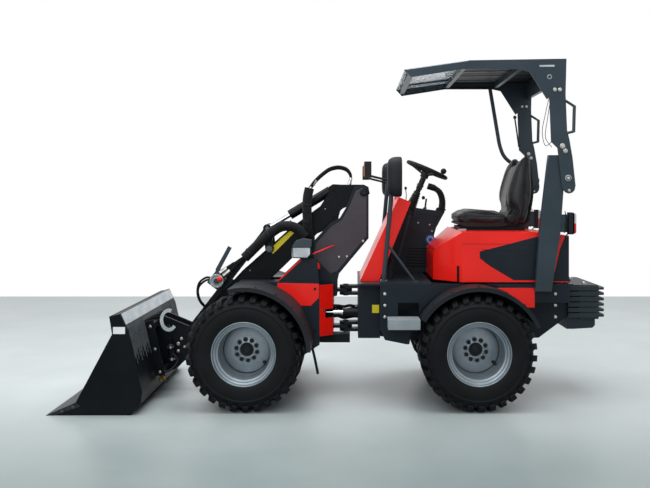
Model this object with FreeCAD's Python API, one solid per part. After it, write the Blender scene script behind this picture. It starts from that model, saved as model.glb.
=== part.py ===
import FreeCAD, Part
import math
import os

# Mini wheel loader with an articulated frame, a folding canopy, a lift boom and a bucket.
# Millimetres. +X is forward, +Y is the driver's left, +Z is up.
# The model is drawn with X = 0 on the articulation axis and Z = 0 on the ground, and each
# piece is then moved along X so that the origin is under the middle of the whole machine.

# ---- driving dimensions -------------------------------------------------------------------
JOINT_TO_FRONT_AXLE = 665.0
JOINT_TO_REAR_AXLE = 880.0
TRACK_HALF = 503.0
TYRE_RADIUS = 387.0
TYRE_WIDTH = 394.0
RIM_RADIUS = 206.0
RIM_FLANGE_RADIUS = 216.0
RIM_INSET = 12.0
HUB_FACE_DEPTH = 190.0
HUB_BOLT_CIRCLE_RADIUS = 70.0
AXLE_Z = TYRE_RADIUS
FRONT_X = JOINT_TO_FRONT_AXLE
REAR_X = -JOINT_TO_REAR_AXLE
TYRE_OUTER_Y = TRACK_HALF + TYRE_WIDTH / 2

FRAME_HALF = 270.0
FRAME_PLATE = 12.0
BODY_HALF = 480.0
BODY_PLATE = 12.0
SHELL_FRONT_X = -235.0
WING_REAR_DX = -644.0
BODY_TOP_Z = 827.0
FLOOR_SHEET = 4.0
COWL_HALF = 300.0
CONSOLE_OUTER_Y = -458.0
CONSOLE_INNER_Y = -345.0
ENGINE_FRONT_DX = 150.0
ENGINE_REAR_DX = -560.0
ENGINE_BOTTOM_Z = 530.0
STEER_PIN_RADIUS = 12.0

FENDER_GAP = 52.0
FENDER_SHEET = 5.0

HOOD_HALF = BODY_HALF - 20.0
HOOD_SHEET = 8.0
HOOD_TOP_Z = 1179.0
HOOD_BOTTOM_Z = 836.0

POST_INNER_Y = BODY_HALF + 0.3
POST_THICKNESS = 46.0
CANOPY_PLATE = 10.0
CANOPY_TOP_Z = 2342.0
ROOF_SEAM_DX = 50.0
GUARD_BAR_RADIUS = 15.0

HOOP_PIVOT_DX = -618.0
HOOP_PIVOT_Z = 1545.0
HOOP_PIN_RADIUS = 14.0

BUCKET_HALF = 730.0
BUCKET_TIP_X = 1943.0
COUNTERWEIGHT_REAR_X = REAR_X - 943.0

BOOM_HALF = 60.0
TOWER_GAP = 10.0
TOWER_PLATE = 20.0
BOOM_PIVOT = (-131.0, 1452.0)
COUPLER_PIN = (1125.0, 300.0)
TILT_ARM = 150.0
TILT_ARM_ANGLE = 84.0
LEVER_PIN = (555.0, 1040.0)
TILT_BASE = (95.0, 1475.0)
LIFT_BASE = (175.0, 560.0)
LIFT_EYE = (105.0, 1200.0)
BUCKET_BACK_LOW = (1318.0, 160.0)
BUCKET_BACK_HIGH = (1411.0, 555.0)
HOOD_NOSE_DX = 263.0
HOOD_NOSE_HALF = 250.0
HOOD_SHOULDER_DX = 85.0
AXLE_SEAT_Z = 490.0
AXLE_SEAT_PLATE = 12.0

RUNNING_FIT = 0.05
PIN_RADIUS = 20.0
SEAT_GAP = 0.3
MOVING_GAP = 6.0

TOW_PIN_BORE = 13.0

ORIGIN_SHIFT = -(BUCKET_TIP_X + COUNTERWEIGHT_REAR_X) / 2


# ---- helpers ------------------------------------------------------------------------------
def point(x, y, z):
    return FreeCAD.Vector(x, y, z)


def prism(outline, y_from, y_to):
    """A side-view outline of (x, z) points, extruded across the machine."""
    corners = [point(x, y_from, z) for x, z in outline]
    face = Part.Face(Part.makePolygon(corners + corners[:1]))
    return face.extrude(point(0, y_to - y_from, 0))


def plan(outline, z_from, z_to):
    """A plan-view outline of (x, y) points, extruded upwards."""
    corners = [point(x, y, z_from) for x, y in outline]
    face = Part.Face(Part.makePolygon(corners + corners[:1]))
    return face.extrude(point(0, 0, z_to - z_from))


def block(x_from, x_to, y_from, y_to, z_from, z_to):
    low = point(min(x_from, x_to), min(y_from, y_to), min(z_from, z_to))
    size = (abs(x_to - x_from), abs(y_to - y_from), abs(z_to - z_from))
    return Part.makeBox(size[0], size[1], size[2], low)


def bar(start, end, radius):
    direction = end.sub(start)
    return Part.makeCylinder(radius, direction.Length, start, direction)


def cross_bar(place, radius, y_from, y_to):
    """A round bar along Y through the side-view place (x, z)."""
    return bar(point(place[0], y_from, place[1]), point(place[0], y_to, place[1]), radius)


def upright(x, y, radius, z_from, z_to):
    return bar(point(x, y, z_from), point(x, y, z_to), radius)


def mirrored(shape):
    return shape.mirror(point(0, 0, 0), point(0, 1, 0))


def joined(shapes):
    return shapes[0].multiFuse(shapes[1:]).removeSplitter()


def save(name, *shapes):
    compound = Part.Compound(list(shapes))
    compound.translate(point(ORIGIN_SHIFT, 0, 0))
    compound.exportStep("parts/" + name + ".step")


def rear(dx, z):
    return (REAR_X + dx, z)


def front(dx, z):
    return (FRONT_X + dx, z)


def along(start, end, distance):
    """The side-view place at a distance from start towards end."""
    length = math.dist(start, end)
    share = distance / length
    return (start[0] + (end[0] - start[0]) * share, start[1] + (end[1] - start[1]) * share)


def tangent_path(points, label):
    """Straight runs through the points, joined by arcs as large as the runs allow."""
    edges = []
    start = points[0]
    smallest = None
    for here in range(1, len(points) - 1):
        back = points[here - 1].sub(points[here])
        ahead = points[here + 1].sub(points[here])
        half_turn = (math.pi - back.getAngle(ahead)) / 2
        reach = 0.45 * min(back.Length, ahead.Length)
        radius = reach / math.tan(half_turn)
        smallest = radius if smallest is None else min(smallest, radius)
        back_way = FreeCAD.Vector(back).normalize()
        ahead_way = FreeCAD.Vector(ahead).normalize()
        arc_start = points[here] + back_way * reach
        arc_end = points[here] + ahead_way * reach
        middle_way = (back_way + ahead_way).normalize()
        middle = points[here] + middle_way * (radius / math.cos(half_turn) - radius)
        edges.append(Part.LineSegment(start, arc_start).toShape())
        edges.append(Part.Arc(arc_start, middle, arc_end).toShape())
        start = arc_end
    edges.append(Part.LineSegment(start, points[-1]).toShape())
    print(label, "smallest bend radius", round(smallest), "mm")
    return Part.Wire(edges)


def hose(points, radius, label):
    """A round tube or bar that follows the points with smooth bends."""
    path = tangent_path(points, label)
    first_way = points[1].sub(points[0])
    section = Part.Wire([Part.makeCircle(radius, points[0], first_way)])
    return path.makePipeShell([section], True, False)


# ---- wheels and axles ---------------------------------------------------------------------
def turned(profile, axle_x, side):
    """A (radius, y) profile turned about a wheel's axle; y counts outboard from the centre."""
    corners = [point(r, y, 0) for r, y in profile]
    face = Part.Face(Part.makePolygon(corners + corners[:1]))
    solid = face.revolve(point(0, 0, 0), point(0, 1, 0), 360)
    solid.translate(point(0, TRACK_HALF, 0))
    if side < 0:
        solid = mirrored(solid)
    solid.translate(point(axle_x, 0, AXLE_Z))
    return solid


def tyre(axle_x, side):
    half = TYRE_WIDTH / 2
    bead = half - RIM_INSET
    shoulder = TYRE_RADIUS - 30
    bulge = TYRE_RADIUS - 100
    profile = [
        (RIM_RADIUS, -bead), (RIM_FLANGE_RADIUS + 3, -bead), (RIM_FLANGE_RADIUS + 14, -half + 4),
        (bulge, -half),
        (shoulder, -half + 8), (TYRE_RADIUS - 6, -half + 30), (TYRE_RADIUS, -half + 60),
        (TYRE_RADIUS, half - 60), (TYRE_RADIUS - 6, half - 30), (shoulder, half - 8),
        (bulge, half), (RIM_FLANGE_RADIUS + 14, half - 4), (RIM_FLANGE_RADIUS + 3, bead),
        (RIM_RADIUS, bead),
    ]
    return turned(profile, axle_x, side)


def rim(axle_x, side):
    half = TYRE_WIDTH / 2 - RIM_INSET
    disc_y = half - HUB_FACE_DEPTH
    wall = 5.0
    barrel = RIM_RADIUS - 0.3
    hub_bore = 32.0
    profile = [
        (hub_bore, disc_y - 10), (barrel - wall - 12, disc_y - 10), (barrel - wall, -half),
        (barrel, -half), (barrel, half), (RIM_FLANGE_RADIUS, half + 1),
        (RIM_FLANGE_RADIUS, half + 7), (barrel - wall, half + 7), (barrel - wall - 4, disc_y + 60),
        (barrel - wall - 18, disc_y), (hub_bore, disc_y),
    ]
    return turned(profile, axle_x, side)


def hub(axle_x, side):
    half = TYRE_WIDTH / 2 - RIM_INSET
    disc_y = half - HUB_FACE_DEPTH
    flange_radius = HUB_BOLT_CIRCLE_RADIUS + 22
    profile = [
        (26 + RUNNING_FIT, disc_y - 40), (flange_radius, disc_y - 40), (flange_radius, disc_y - 10),
        (31.8, disc_y - 10), (31.8, disc_y), (46, disc_y), (46, disc_y + 26), (0, disc_y + 26),
        (0, disc_y + 8), (26 + RUNNING_FIT, disc_y + 8),
    ]
    return turned(profile, axle_x, side)


def axle(axle_x):
    half = TYRE_WIDTH / 2 - RIM_INSET
    stub_end = TRACK_HALF + half - HUB_FACE_DEPTH + 4
    flange_y = TRACK_HALF + half - HUB_FACE_DEPTH - 42
    beam = cross_bar((axle_x, AXLE_Z), 58, -flange_y, flange_y)
    stubs = cross_bar((axle_x, AXLE_Z), 26, -stub_end, stub_end)
    housing = Part.makeSphere(95, point(axle_x, 0, AXLE_Z))
    pads = block(axle_x - 55, axle_x + 55, 140, 220, AXLE_Z, AXLE_SEAT_Z - SEAT_GAP)
    return joined([beam, stubs, housing, pads, mirrored(pads)])


def drive_housing():
    """The long gear housing that runs back from the front axle, under the joint."""
    return block(-30, FRONT_X - 60, -62, 62, AXLE_Z - 31, AXLE_Z + 29)


def wheels():
    for end, axle_x in (("front", FRONT_X), ("rear", REAR_X)):
        for side_name, side in (("left", 1), ("right", -1)):
            save("tyre_" + end + "_" + side_name, tyre(axle_x, side))
            save("rim_" + end + "_" + side_name, rim(axle_x, side), hub(axle_x, side))


def fender(axle_x, from_angle, to_angle, inner_y):
    """A curved sheet over both wheels of one axle, between two angles from straight ahead."""
    outer = TYRE_RADIUS + FENDER_GAP
    inner = outer - FENDER_SHEET
    lip = 22.0
    sheets = []
    for y_from, y_to, depth in ((inner_y, TYRE_OUTER_Y, 0), (TYRE_OUTER_Y - 6, TYRE_OUTER_Y, lip)):
        low = inner - depth if depth else inner
        ring = cross_bar((axle_x, AXLE_Z), outer, y_from, y_to)
        ring = ring.cut(cross_bar((axle_x, AXLE_Z), low, y_from - 1, y_to + 1))
        sheets.append(ring)
    ring = joined(sheets)
    reach = 2 * outer
    steps = 8
    wedge = [(axle_x, AXLE_Z)]
    for step in range(steps + 1):
        angle = math.radians(from_angle + (to_angle - from_angle) * step / steps)
        wedge.append((axle_x + reach * math.cos(angle), AXLE_Z + reach * math.sin(angle)))
    return ring.common(prism(wedge, -2 * BODY_HALF, 2 * BODY_HALF))


# ---- articulation -------------------------------------------------------------------------
LUG_RADIUS = 46.0
LUG_PLATE = 22.0
LUG_GAP = 3.0
UPPER_LUG_Z = 735.0
LOWER_LUG_Z = 470.0
REAR_BOX_FRONT = -87.0
FRONT_BOX_REAR = 90.0


def tongue(root_x, z_middle, plate):
    """A rounded lug plate that reaches from a frame to the articulation axis."""
    low = z_middle - plate / 2
    high = z_middle + plate / 2
    plate_block = block(root_x, 0, -LUG_RADIUS, LUG_RADIUS, low, high)
    return plate_block.fuse(upright(0, 0, LUG_RADIUS, low, high))


def rear_lugs():
    spread = LUG_PLATE + LUG_GAP
    lugs = []
    for z in (UPPER_LUG_Z, LOWER_LUG_Z):
        lugs.append(tongue(REAR_BOX_FRONT - 5, z + spread, LUG_PLATE))
        lugs.append(tongue(REAR_BOX_FRONT - 5, z - spread, LUG_PLATE))
        lugs.append(upright(0, 0, PIN_RADIUS, z - 1.7 * spread, z + 1.7 * spread))
    return lugs


def front_lugs():
    lugs = []
    for z in (UPPER_LUG_Z, LOWER_LUG_Z):
        lug = tongue(FRONT_BOX_REAR + 5, z, LUG_PLATE)
        lugs.append(lug.cut(upright(0, 0, PIN_RADIUS + RUNNING_FIT, z - LUG_PLATE, z + LUG_PLATE)))
    return lugs


STEER_Y = 145.0
STEER_EYE_HALF = 25.0
STEER_Z = 590.0
STEER_REAR_X = -230.0
STEER_FRONT_X = 170.0
STEER_LUG_GAP = 30.0
STEER_LUG_PLATE = 12.0


def steering_lugs(x_from, x_to):
    """Two flat plates, above and below the steering cylinder's eye."""
    y_from = STEER_Y - 30
    y_to = STEER_Y + 45
    low = STEER_Z - STEER_LUG_GAP - STEER_LUG_PLATE
    high = STEER_Z + STEER_LUG_GAP
    return [
        block(x_from, x_to, y_from, y_to, low, low + STEER_LUG_PLATE),
        block(x_from, x_to, y_from, y_to, high, high + STEER_LUG_PLATE),
    ]


# ---- rear frame ---------------------------------------------------------------------------
HOOD_HINGE_DX = -660.0
HOOD_HINGE_Z = 842.0
HINGE_KNUCKLE_FROM = 300.0
HINGE_KNUCKLE_TO = 360.0
HINGE_RADIUS = 9.0
HINGE_PIN_RADIUS = 5.0
HINGE_EAR = 15.0


def hood_hinge_ears():
    """Two ears and the pin between them, for the knuckle at one side of the hood's rear edge."""
    place = rear(HOOD_HINGE_DX, HOOD_HINGE_Z)
    y_from = HINGE_KNUCKLE_FROM - SEAT_GAP - HINGE_EAR
    y_to = HINGE_KNUCKLE_TO + SEAT_GAP + HINGE_EAR
    shapes = [cross_bar(place, HINGE_PIN_RADIUS, y_from, y_to)]
    for low_y in (y_from, y_to - HINGE_EAR):
        shapes.append(cross_bar(place, HINGE_RADIUS, low_y, low_y + HINGE_EAR))
        ear = block(place[0] - 7, place[0] + 7, low_y, low_y + HINGE_EAR, BODY_TOP_Z - 6, HOOD_HINGE_Z)
        shapes.append(ear)
    return joined(shapes)


def hood_hinge_knuckle():
    place = rear(HOOD_HINGE_DX, HOOD_HINGE_Z)
    tab = block(
        place[0], rear(-640, 0)[0], HINGE_KNUCKLE_FROM, HINGE_KNUCKLE_TO, HOOD_HINGE_Z, HOOD_HINGE_Z + 9,
    )
    knuckle = cross_bar(place, HINGE_RADIUS, HINGE_KNUCKLE_FROM, HINGE_KNUCKLE_TO).fuse(tab)
    return knuckle.cut(cross_bar(place, HINGE_PIN_RADIUS + RUNNING_FIT, 0, BODY_HALF))


def body_shell():
    """Deck, side plates and rear wings: the sheet body that stands on the rear chassis."""
    arch = TYRE_RADIUS + FENDER_GAP + MOVING_GAP
    side_outline = [
        (SHELL_FRONT_X, BODY_TOP_Z), (SHELL_FRONT_X, 520), (-269, 446), (-418, 416), (-520, 430),
        rear(60, 430), rear(60, 700), rear(WING_REAR_DX, 700), rear(WING_REAR_DX, BODY_TOP_Z),
    ]
    side = prism(side_outline, BODY_HALF - BODY_PLATE, BODY_HALF)
    step_window = block(-357, -500, BODY_HALF - 2 * BODY_PLATE, BODY_HALF + 1, 603, 698)
    side = side.cut(step_window)
    side = side.cut(cross_bar((REAR_X, AXLE_Z), arch, 0, 2 * BODY_HALF))
    low = BODY_TOP_Z - BODY_PLATE
    deck = block(REAR_BOX_FRONT, rear(300, 0)[0], -BODY_HALF, BODY_HALF, low, BODY_TOP_Z)
    wing = block(rear(-560, 0)[0], rear(HOOD_HINGE_DX - 9, 0)[0], FRAME_HALF, BODY_HALF, low, BODY_TOP_Z)
    hinge = hood_hinge_ears()
    return joined([side, mirrored(side), deck, wing, mirrored(wing), hinge, mirrored(hinge)])


def rear_frame():
    """The welded chassis under the driver and engine, with the rear half of the articulation."""
    rail_top = BODY_TOP_Z - BODY_PLATE - SEAT_GAP
    seat_top = AXLE_SEAT_Z + AXLE_SEAT_PLATE
    rail_outline = [
        (REAR_BOX_FRONT, rail_top), (REAR_BOX_FRONT, 437), (-240, 437), (-420, 416), rear(160, 416),
        rear(110, AXLE_SEAT_Z), rear(-110, AXLE_SEAT_Z), rear(-160, 412), rear(-480, 426),
        rear(-680, 575), rear(-680, rail_top),
    ]
    rail = prism(rail_outline, FRAME_HALF - FRAME_PLATE, FRAME_HALF)
    front_plate = block(REAR_BOX_FRONT, REAR_BOX_FRONT - 20, -FRAME_HALF, FRAME_HALF, 437, rail_top)
    window = block(
        REAR_BOX_FRONT + 1, REAR_BOX_FRONT - 21, STEER_Y - 80, STEER_Y + 80, STEER_Z - 33, STEER_Z + 33,
    )
    front_plate = front_plate.cut(window)
    front_box = block(REAR_BOX_FRONT, SHELL_FRONT_X - 5, FRAME_HALF - 1, 350, 437, rail_top)
    belly_front = block(SHELL_FRONT_X - 5, rear(160, 0)[0], -FRAME_HALF, FRAME_HALF, 437, 445)
    belly_rear = block(rear(-160, 0)[0], rear(-480, 0)[0], -FRAME_HALF, FRAME_HALF, 426, 434)
    axle_seat = block(rear(110, 0)[0], rear(-110, 0)[0], -FRAME_HALF, FRAME_HALF, AXLE_SEAT_Z, seat_top)
    tail = block(rear(-668, 0)[0], rear(-680, 0)[0], -FRAME_HALF, FRAME_HALF, 575, rail_top)
    bearers = []
    bearer_top = ENGINE_BOTTOM_Z - SEAT_GAP
    for dx in (ENGINE_FRONT_DX - 30, ENGINE_REAR_DX):
        start = rear(dx, 0)[0]
        bearers.append(block(start, start + 30, -FRAME_HALF, FRAME_HALF, bearer_top - 20, bearer_top))
    lug_low = STEER_Z - STEER_LUG_GAP - STEER_LUG_PLATE
    lug_high = STEER_Z + STEER_LUG_GAP + STEER_LUG_PLATE
    lug_back = STEER_REAR_X - 60
    steer_back = block(lug_back, lug_back + 15, STEER_Y - 30, FRAME_HALF - 2, lug_low, lug_high)
    steer_pin = upright(STEER_REAR_X, STEER_Y, STEER_PIN_RADIUS, lug_low, lug_high)
    pieces = [rail, mirrored(rail), front_plate, front_box, mirrored(front_box), belly_front]
    pieces += [belly_rear, axle_seat, tail, steer_back, steer_pin]
    return joined(pieces + bearers + steering_lugs(lug_back, STEER_REAR_X + 26) + rear_lugs())


def rear_fender_skirt():
    return fender(REAR_X, 31, 156, FRAME_HALF + SEAT_GAP)


def floor_plate():
    half = BODY_HALF - 20
    return block(-236, rear(290, 0)[0], -half, half, BODY_TOP_Z, BODY_TOP_Z + FLOOR_SHEET)


def side_step():
    tread = block(-284, -497, BODY_HALF + 0.5, 640, 594, 606)
    skirt = block(-284, -497, 630, 640, 540, 606)
    bracket_front = block(-284, -294, BODY_HALF + 0.5, 640, 540, 606)
    bracket_rear = block(-487, -497, BODY_HALF + 0.5, 640, 540, 606)
    return joined([tread, skirt, bracket_front, bracket_rear])


def cowl_body():
    foot_z = BODY_TOP_Z + SEAT_GAP
    outer = [(-101, foot_z), (-374, 1417), (-458, 1382), (-234, foot_z)]
    return prism(outer, -COWL_HALF, COWL_HALF)


def dash_cowl():
    foot_z = BODY_TOP_Z + SEAT_GAP
    inner = [(-113, foot_z - 1), (-377, 1400), (-445, 1374), (-222, foot_z - 1)]
    return cowl_body().cut(prism(inner, -COWL_HALF + 8, COWL_HALF - 8))


CONSOLE_TOP_FRONT = (-497.0, 1337.0)
CONSOLE_TOP_REAR = (-768.0, 1301.0)
JOYSTICK_RADIUS = 20.0


def side_console():
    """The box at the driver's right hand; the joystick stands on its rear end."""
    foot_z = BODY_TOP_Z + FLOOR_SHEET + SEAT_GAP
    outline = [
        CONSOLE_TOP_FRONT, CONSOLE_TOP_REAR, (-742, 1255), (-716, 1205), (-700, 1176), (-684, 1120),
        (-672, foot_z), (-410, foot_z), (-396, 955),
    ]
    return prism(outline, CONSOLE_OUTER_Y, CONSOLE_INNER_Y)


def console_foot(x):
    """Where a control stands on the console's sloping top, just clear of it, and the way up from there."""
    run = CONSOLE_TOP_FRONT[0] - CONSOLE_TOP_REAR[0]
    rise = CONSOLE_TOP_FRONT[1] - CONSOLE_TOP_REAR[1]
    up = point(-rise, 0, run).normalize()
    z = CONSOLE_TOP_FRONT[1] + (x - CONSOLE_TOP_FRONT[0]) * rise / run
    return point(x, (CONSOLE_OUTER_Y + CONSOLE_INNER_Y) / 2, z) + up * SEAT_GAP, up


COLUMN_TOP = (-598.0, 1615.0)
WHEEL_TILT = 23.6
WHEEL_DISH = 42.0
HUB_HALF_LENGTH = 20.0
NECK_LENGTH = 110.0
BELLOWS_LENGTH = 150.0
STEERING_WHEEL_RADIUS = 150.0
KNOB_TURN = 215
KNOB_HEIGHT = 46.0
KNOB_RADIUS = 22.0


def column_axis():
    tilt = math.radians(WHEEL_TILT)
    return FreeCAD.Vector(-math.sin(tilt), 0, math.cos(tilt))


def steering_column():
    axis = column_axis()
    hub = point(COLUMN_TOP[0], 0, COLUMN_TOP[1]) - axis * WHEEL_DISH
    head = hub - axis * HUB_HALF_LENGTH
    neck = head - axis * NECK_LENGTH
    foot = neck - axis * BELLOWS_LENGTH
    column = joined([bar(neck, head, 22), bar(foot, neck, 42)])
    return column.cut(cowl_body())


def steering_wheel():
    """A dished wheel: its three arms run down from the rim to a hub on the column, with a knob."""
    axis = column_axis()
    centre = point(COLUMN_TOP[0], 0, COLUMN_TOP[1])
    hub = centre - axis * WHEEL_DISH
    ring = Part.makeTorus(STEERING_WHEEL_RADIUS, 13, centre, axis)
    boss = bar(hub - axis * (HUB_HALF_LENGTH - SEAT_GAP), hub + axis * HUB_HALF_LENGTH, 30)
    shapes = [ring, boss]
    for turn in (0, 120, 240):
        shapes.append(bar(hub, wheel_point(turn, STEERING_WHEEL_RADIUS), 8))
    knob_root = wheel_point(KNOB_TURN, STEERING_WHEEL_RADIUS)
    stem = bar(knob_root, knob_root + axis * KNOB_HEIGHT, 9)
    knob = Part.makeSphere(KNOB_RADIUS, knob_root + axis * KNOB_HEIGHT, axis)
    return joined([joined(shapes), joined([stem, knob])])


def wheel_point(turn, radius):
    """A place on the steering wheel's plane, at an angle from straight ahead."""
    tilt = math.radians(WHEEL_TILT)
    angle = math.radians(turn)
    ahead = point(math.cos(tilt), 0, math.sin(tilt)) * (radius * math.cos(angle))
    aside = point(0, radius * math.sin(angle), 0)
    return point(COLUMN_TOP[0], 0, COLUMN_TOP[1]) + ahead + aside


def joystick():
    """A grip on a bellows boot that rises from the console's rear end and curves forward."""
    foot, up = console_foot(-740)
    neck = foot + up * 92
    path = [foot, neck, point(-722, foot.y, 1472), point(-640, foot.y, 1503)]
    collar = Part.makeCone(32, 24, 22, foot, up)
    return joined([hose(path, JOYSTICK_RADIUS, "joystick boot"), collar])


def small_lever():
    foot, up = console_foot(-618)
    return bar(foot, foot + up * 82, 7)


def pedal(y_from, y_to):
    foot_z = BODY_TOP_Z + FLOOR_SHEET + SEAT_GAP
    return prism([(-270, foot_z), (-330, foot_z), (-345, 960), (-330, 970)], y_from, y_to)


POST_Y = 400.0


def mirror_post():
    foot_z = BODY_TOP_Z + FLOOR_SHEET + SEAT_GAP
    post = bar(point(-263, POST_Y, foot_z + 8), point(-328, POST_Y, 1560), 16)
    plate = block(-290, -238, POST_Y - 30, POST_Y + 30, foot_z, foot_z + 10)
    return joined([post, plate])


def left_brace():
    foot_z = BODY_TOP_Z + FLOOR_SHEET + SEAT_GAP
    brace = bar(point(-290, POST_Y, 1090), point(-472, POST_Y, foot_z + 12), 9)
    brace_foot = block(-500, -456, POST_Y - 18, POST_Y + 18, foot_z, foot_z + 8)
    return joined([brace, brace_foot])


def mirror():
    body = block(-284, -380, POST_Y + 16 + SEAT_GAP, POST_Y + 200, 1417, 1690)
    return body.makeFillet(30, [e for e in body.Edges if abs(e.tangentAt(e.FirstParameter).y) > 0.9])


def lamp_stalk():
    stalk = bar(point(-325, POST_Y, 1525), point(-160, POST_Y, 1565), 8)
    stalk = stalk.cut(mirror_post())
    lamp = block(-130, -178, POST_Y - 20, POST_Y + 60, 1550, 1660)
    return joined([stalk, lamp])


def rear_lamp():
    lamp_y = POST_INNER_Y + 12
    return block(rear(-621, 0)[0], rear(-672, 0)[0], lamp_y, lamp_y + 56, 1165, 1315)


def lower_post():
    outline = [
        rear(-401, 780), rear(-430, 1180), rear(-491, 1700), rear(-555, 1700), rear(-600, 1600),
        rear(-570, 1180), rear(-510, 780),
    ]
    post = prism(outline, POST_INNER_Y, POST_INNER_Y + POST_THICKNESS)
    y_ear = POST_INNER_Y + POST_THICKNESS
    pivot = rear(HOOP_PIVOT_DX, HOOP_PIVOT_Z)
    ear_outline = [
        rear(-540, 1620), rear(-560, 1440), (pivot[0] - 10, pivot[1] - 36), (pivot[0] - 10, pivot[1] + 36),
    ]
    ear = prism(ear_outline, POST_INNER_Y, y_ear).fuse(cross_bar(pivot, 37, POST_INNER_Y, y_ear))
    pin = cross_bar(pivot, HOOP_PIN_RADIUS, POST_INNER_Y, y_ear + MOVING_GAP + CANOPY_PLATE + 8)
    bracket_y = POST_INNER_Y + 20
    lamp_bracket = block(rear(-560, 0)[0], rear(-621, 0)[0], bracket_y, bracket_y + 20, 1180, 1300)
    return joined([post, ear, pin, lamp_bracket])


def engine_block():
    return block(rear(ENGINE_FRONT_DX, 0)[0], rear(ENGINE_REAR_DX, 0)[0], -200, 200, ENGINE_BOTTOM_Z, 1040)


def counterweight():
    slabs = []
    for level in range(5):
        low = 556 + level * 46
        slab_rear = COUNTERWEIGHT_REAR_X + (level % 2) * 12
        slabs.append(block(rear(-680.3, 0)[0], slab_rear, -300, 300, low, low + 40))
    spine = block(rear(-680.3, 0)[0], rear(-890, 0)[0], -290, 290, 556, 800)
    foot = block(rear(-680.3, 0)[0], rear(-880, 0)[0], -260, 260, 486, 557)
    stack = joined(slabs + [spine, foot])
    jaw = block(rear(-820, 0)[0], rear(-900, 0)[0], -45, 45, 508, 535)
    return stack.cut(jaw).cut(upright(rear(-850, 0)[0], 0, TOW_PIN_BORE, 480, 556))


# ---- hood and seat ------------------------------------------------------------------------
def engine_hood():
    """A sheet hood whose nose slopes down and narrows towards the driver's feet."""
    outer = [
        rear(HOOD_NOSE_DX, HOOD_BOTTOM_Z), rear(HOOD_NOSE_DX, 1008), rear(HOOD_NOSE_DX - 14, 1056),
        rear(79, HOOD_TOP_Z), rear(-415, HOOD_TOP_Z), rear(-644, 1154), rear(-644, HOOD_BOTTOM_Z),
    ]
    inner = [
        rear(255, HOOD_BOTTOM_Z - 1), rear(255, 1004), rear(243, 1048), rear(76, 1171),
        rear(-414, 1171), rear(-636, 1146), rear(-636, HOOD_BOTTOM_Z - 1),
    ]

    def taper(sheet):
        nose = HOOD_NOSE_HALF - sheet
        side = HOOD_HALF - sheet
        return plan([
            rear(HOOD_NOSE_DX + 9, nose), rear(HOOD_SHOULDER_DX, side), rear(-700, side),
            rear(-700, -side), rear(HOOD_SHOULDER_DX, -side), rear(HOOD_NOSE_DX + 9, -nose),
        ], HOOD_BOTTOM_Z - 5, HOOD_TOP_Z + 5)

    shell = prism(outer, -HOOD_HALF, HOOD_HALF).common(taper(0))
    hollow = prism(inner, -HOOD_HALF, HOOD_HALF).common(taper(HOOD_SHEET))
    knuckle = hood_hinge_knuckle()
    return joined([shell.cut(hollow), knuckle, mirrored(knuckle)])


def seat_base():
    return block(rear(60, 0)[0], rear(-400, 0)[0], -190, 190, HOOD_TOP_Z, 1205)


def seat_cushion():
    outline = [
        rear(100, 1258), rear(96, 1300), rear(40, 1332), rear(-280, 1310), rear(-280, 1205.3),
        rear(60, 1205.3),
    ]
    return prism(outline, -245, 245)


def seat_back():
    outline = [
        rear(-285, 1205.3), rear(-285, 1330), rear(-262, 1390), rear(-268, 1455), rear(-330, 1668),
        rear(-380, 1722), rear(-440, 1722), rear(-465, 1440), rear(-415, 1205.3),
    ]
    return prism(outline, -240, 240)


# ---- folding canopy -----------------------------------------------------------------------
def canopy_side():
    outline = [
        rear(480, 2270), rear(50, 2331), rear(-606, CANOPY_TOP_Z), rear(-600, 2110), rear(-610, 1868),
        rear(-626, 1803), rear(-647, 1680), rear(-667, 1495), rear(-661, 1464), rear(-646, 1447),
        rear(-622, 1440), rear(-598, 1449), rear(-577, 1481), rear(-546, 1747), rear(-503, 1789),
        rear(-491, 2087), rear(-475, 2074), rear(-356, 2262), rear(-288, 2277), rear(91, 2277),
        rear(436, 2223),
    ]
    y_from = POST_INNER_Y + POST_THICKNESS + MOVING_GAP
    plate = prism(outline, y_from, y_from + CANOPY_PLATE)
    pivot = rear(HOOP_PIVOT_DX, HOOP_PIVOT_Z)
    return plate.cut(cross_bar(pivot, HOOP_PIN_RADIUS + RUNNING_FIT, 0, 2 * BODY_HALF))


def guard_bar():
    """A bent bar at the driver's right, from the roof's edge down to the canopy's post."""
    y = -(POST_INNER_Y + POST_THICKNESS + MOVING_GAP + GUARD_BAR_RADIUS + 1)
    places = [rear(-270, 2300), rear(-349, 1828), rear(-380, 1742), rear(-446, 1682), rear(-600, 1652)]
    return hose([point(x, y, z) for x, z in places], GUARD_BAR_RADIUS, "guard bar")


def canopy_frame():
    side = canopy_side()
    y_end = POST_INNER_Y + POST_THICKNESS + MOVING_GAP + CANOPY_PLATE
    shapes = [side, mirrored(side), guard_bar()]
    for dx, low, high in ((-590, 2200, 2330), (-330, 2285, 2325), (60, 2285, 2320), (420, 2235, 2270)):
        shapes.append(block(rear(dx, 0)[0], rear(dx - 16, 0)[0] + 46, -y_end, y_end, low, high))
    return joined(shapes)


def canopy_roof():
    outline = [
        rear(ROOF_SEAM_DX, 2332), rear(-606, CANOPY_TOP_Z + 1), rear(-606, CANOPY_TOP_Z + 5),
        rear(ROOF_SEAM_DX, 2336),
    ]
    half = POST_INNER_Y + POST_THICKNESS + MOVING_GAP + CANOPY_PLATE
    return prism(outline, -half, half)


def canopy_window():
    """The clear panel over the front of the canopy."""
    start = ROOF_SEAM_DX + SEAT_GAP
    outline = [rear(480, 2271), rear(start, 2332), rear(start, 2336), rear(482, 2275)]
    half = POST_INNER_Y + POST_THICKNESS + MOVING_GAP + CANOPY_PLATE
    return prism(outline, -half, half)


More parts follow.
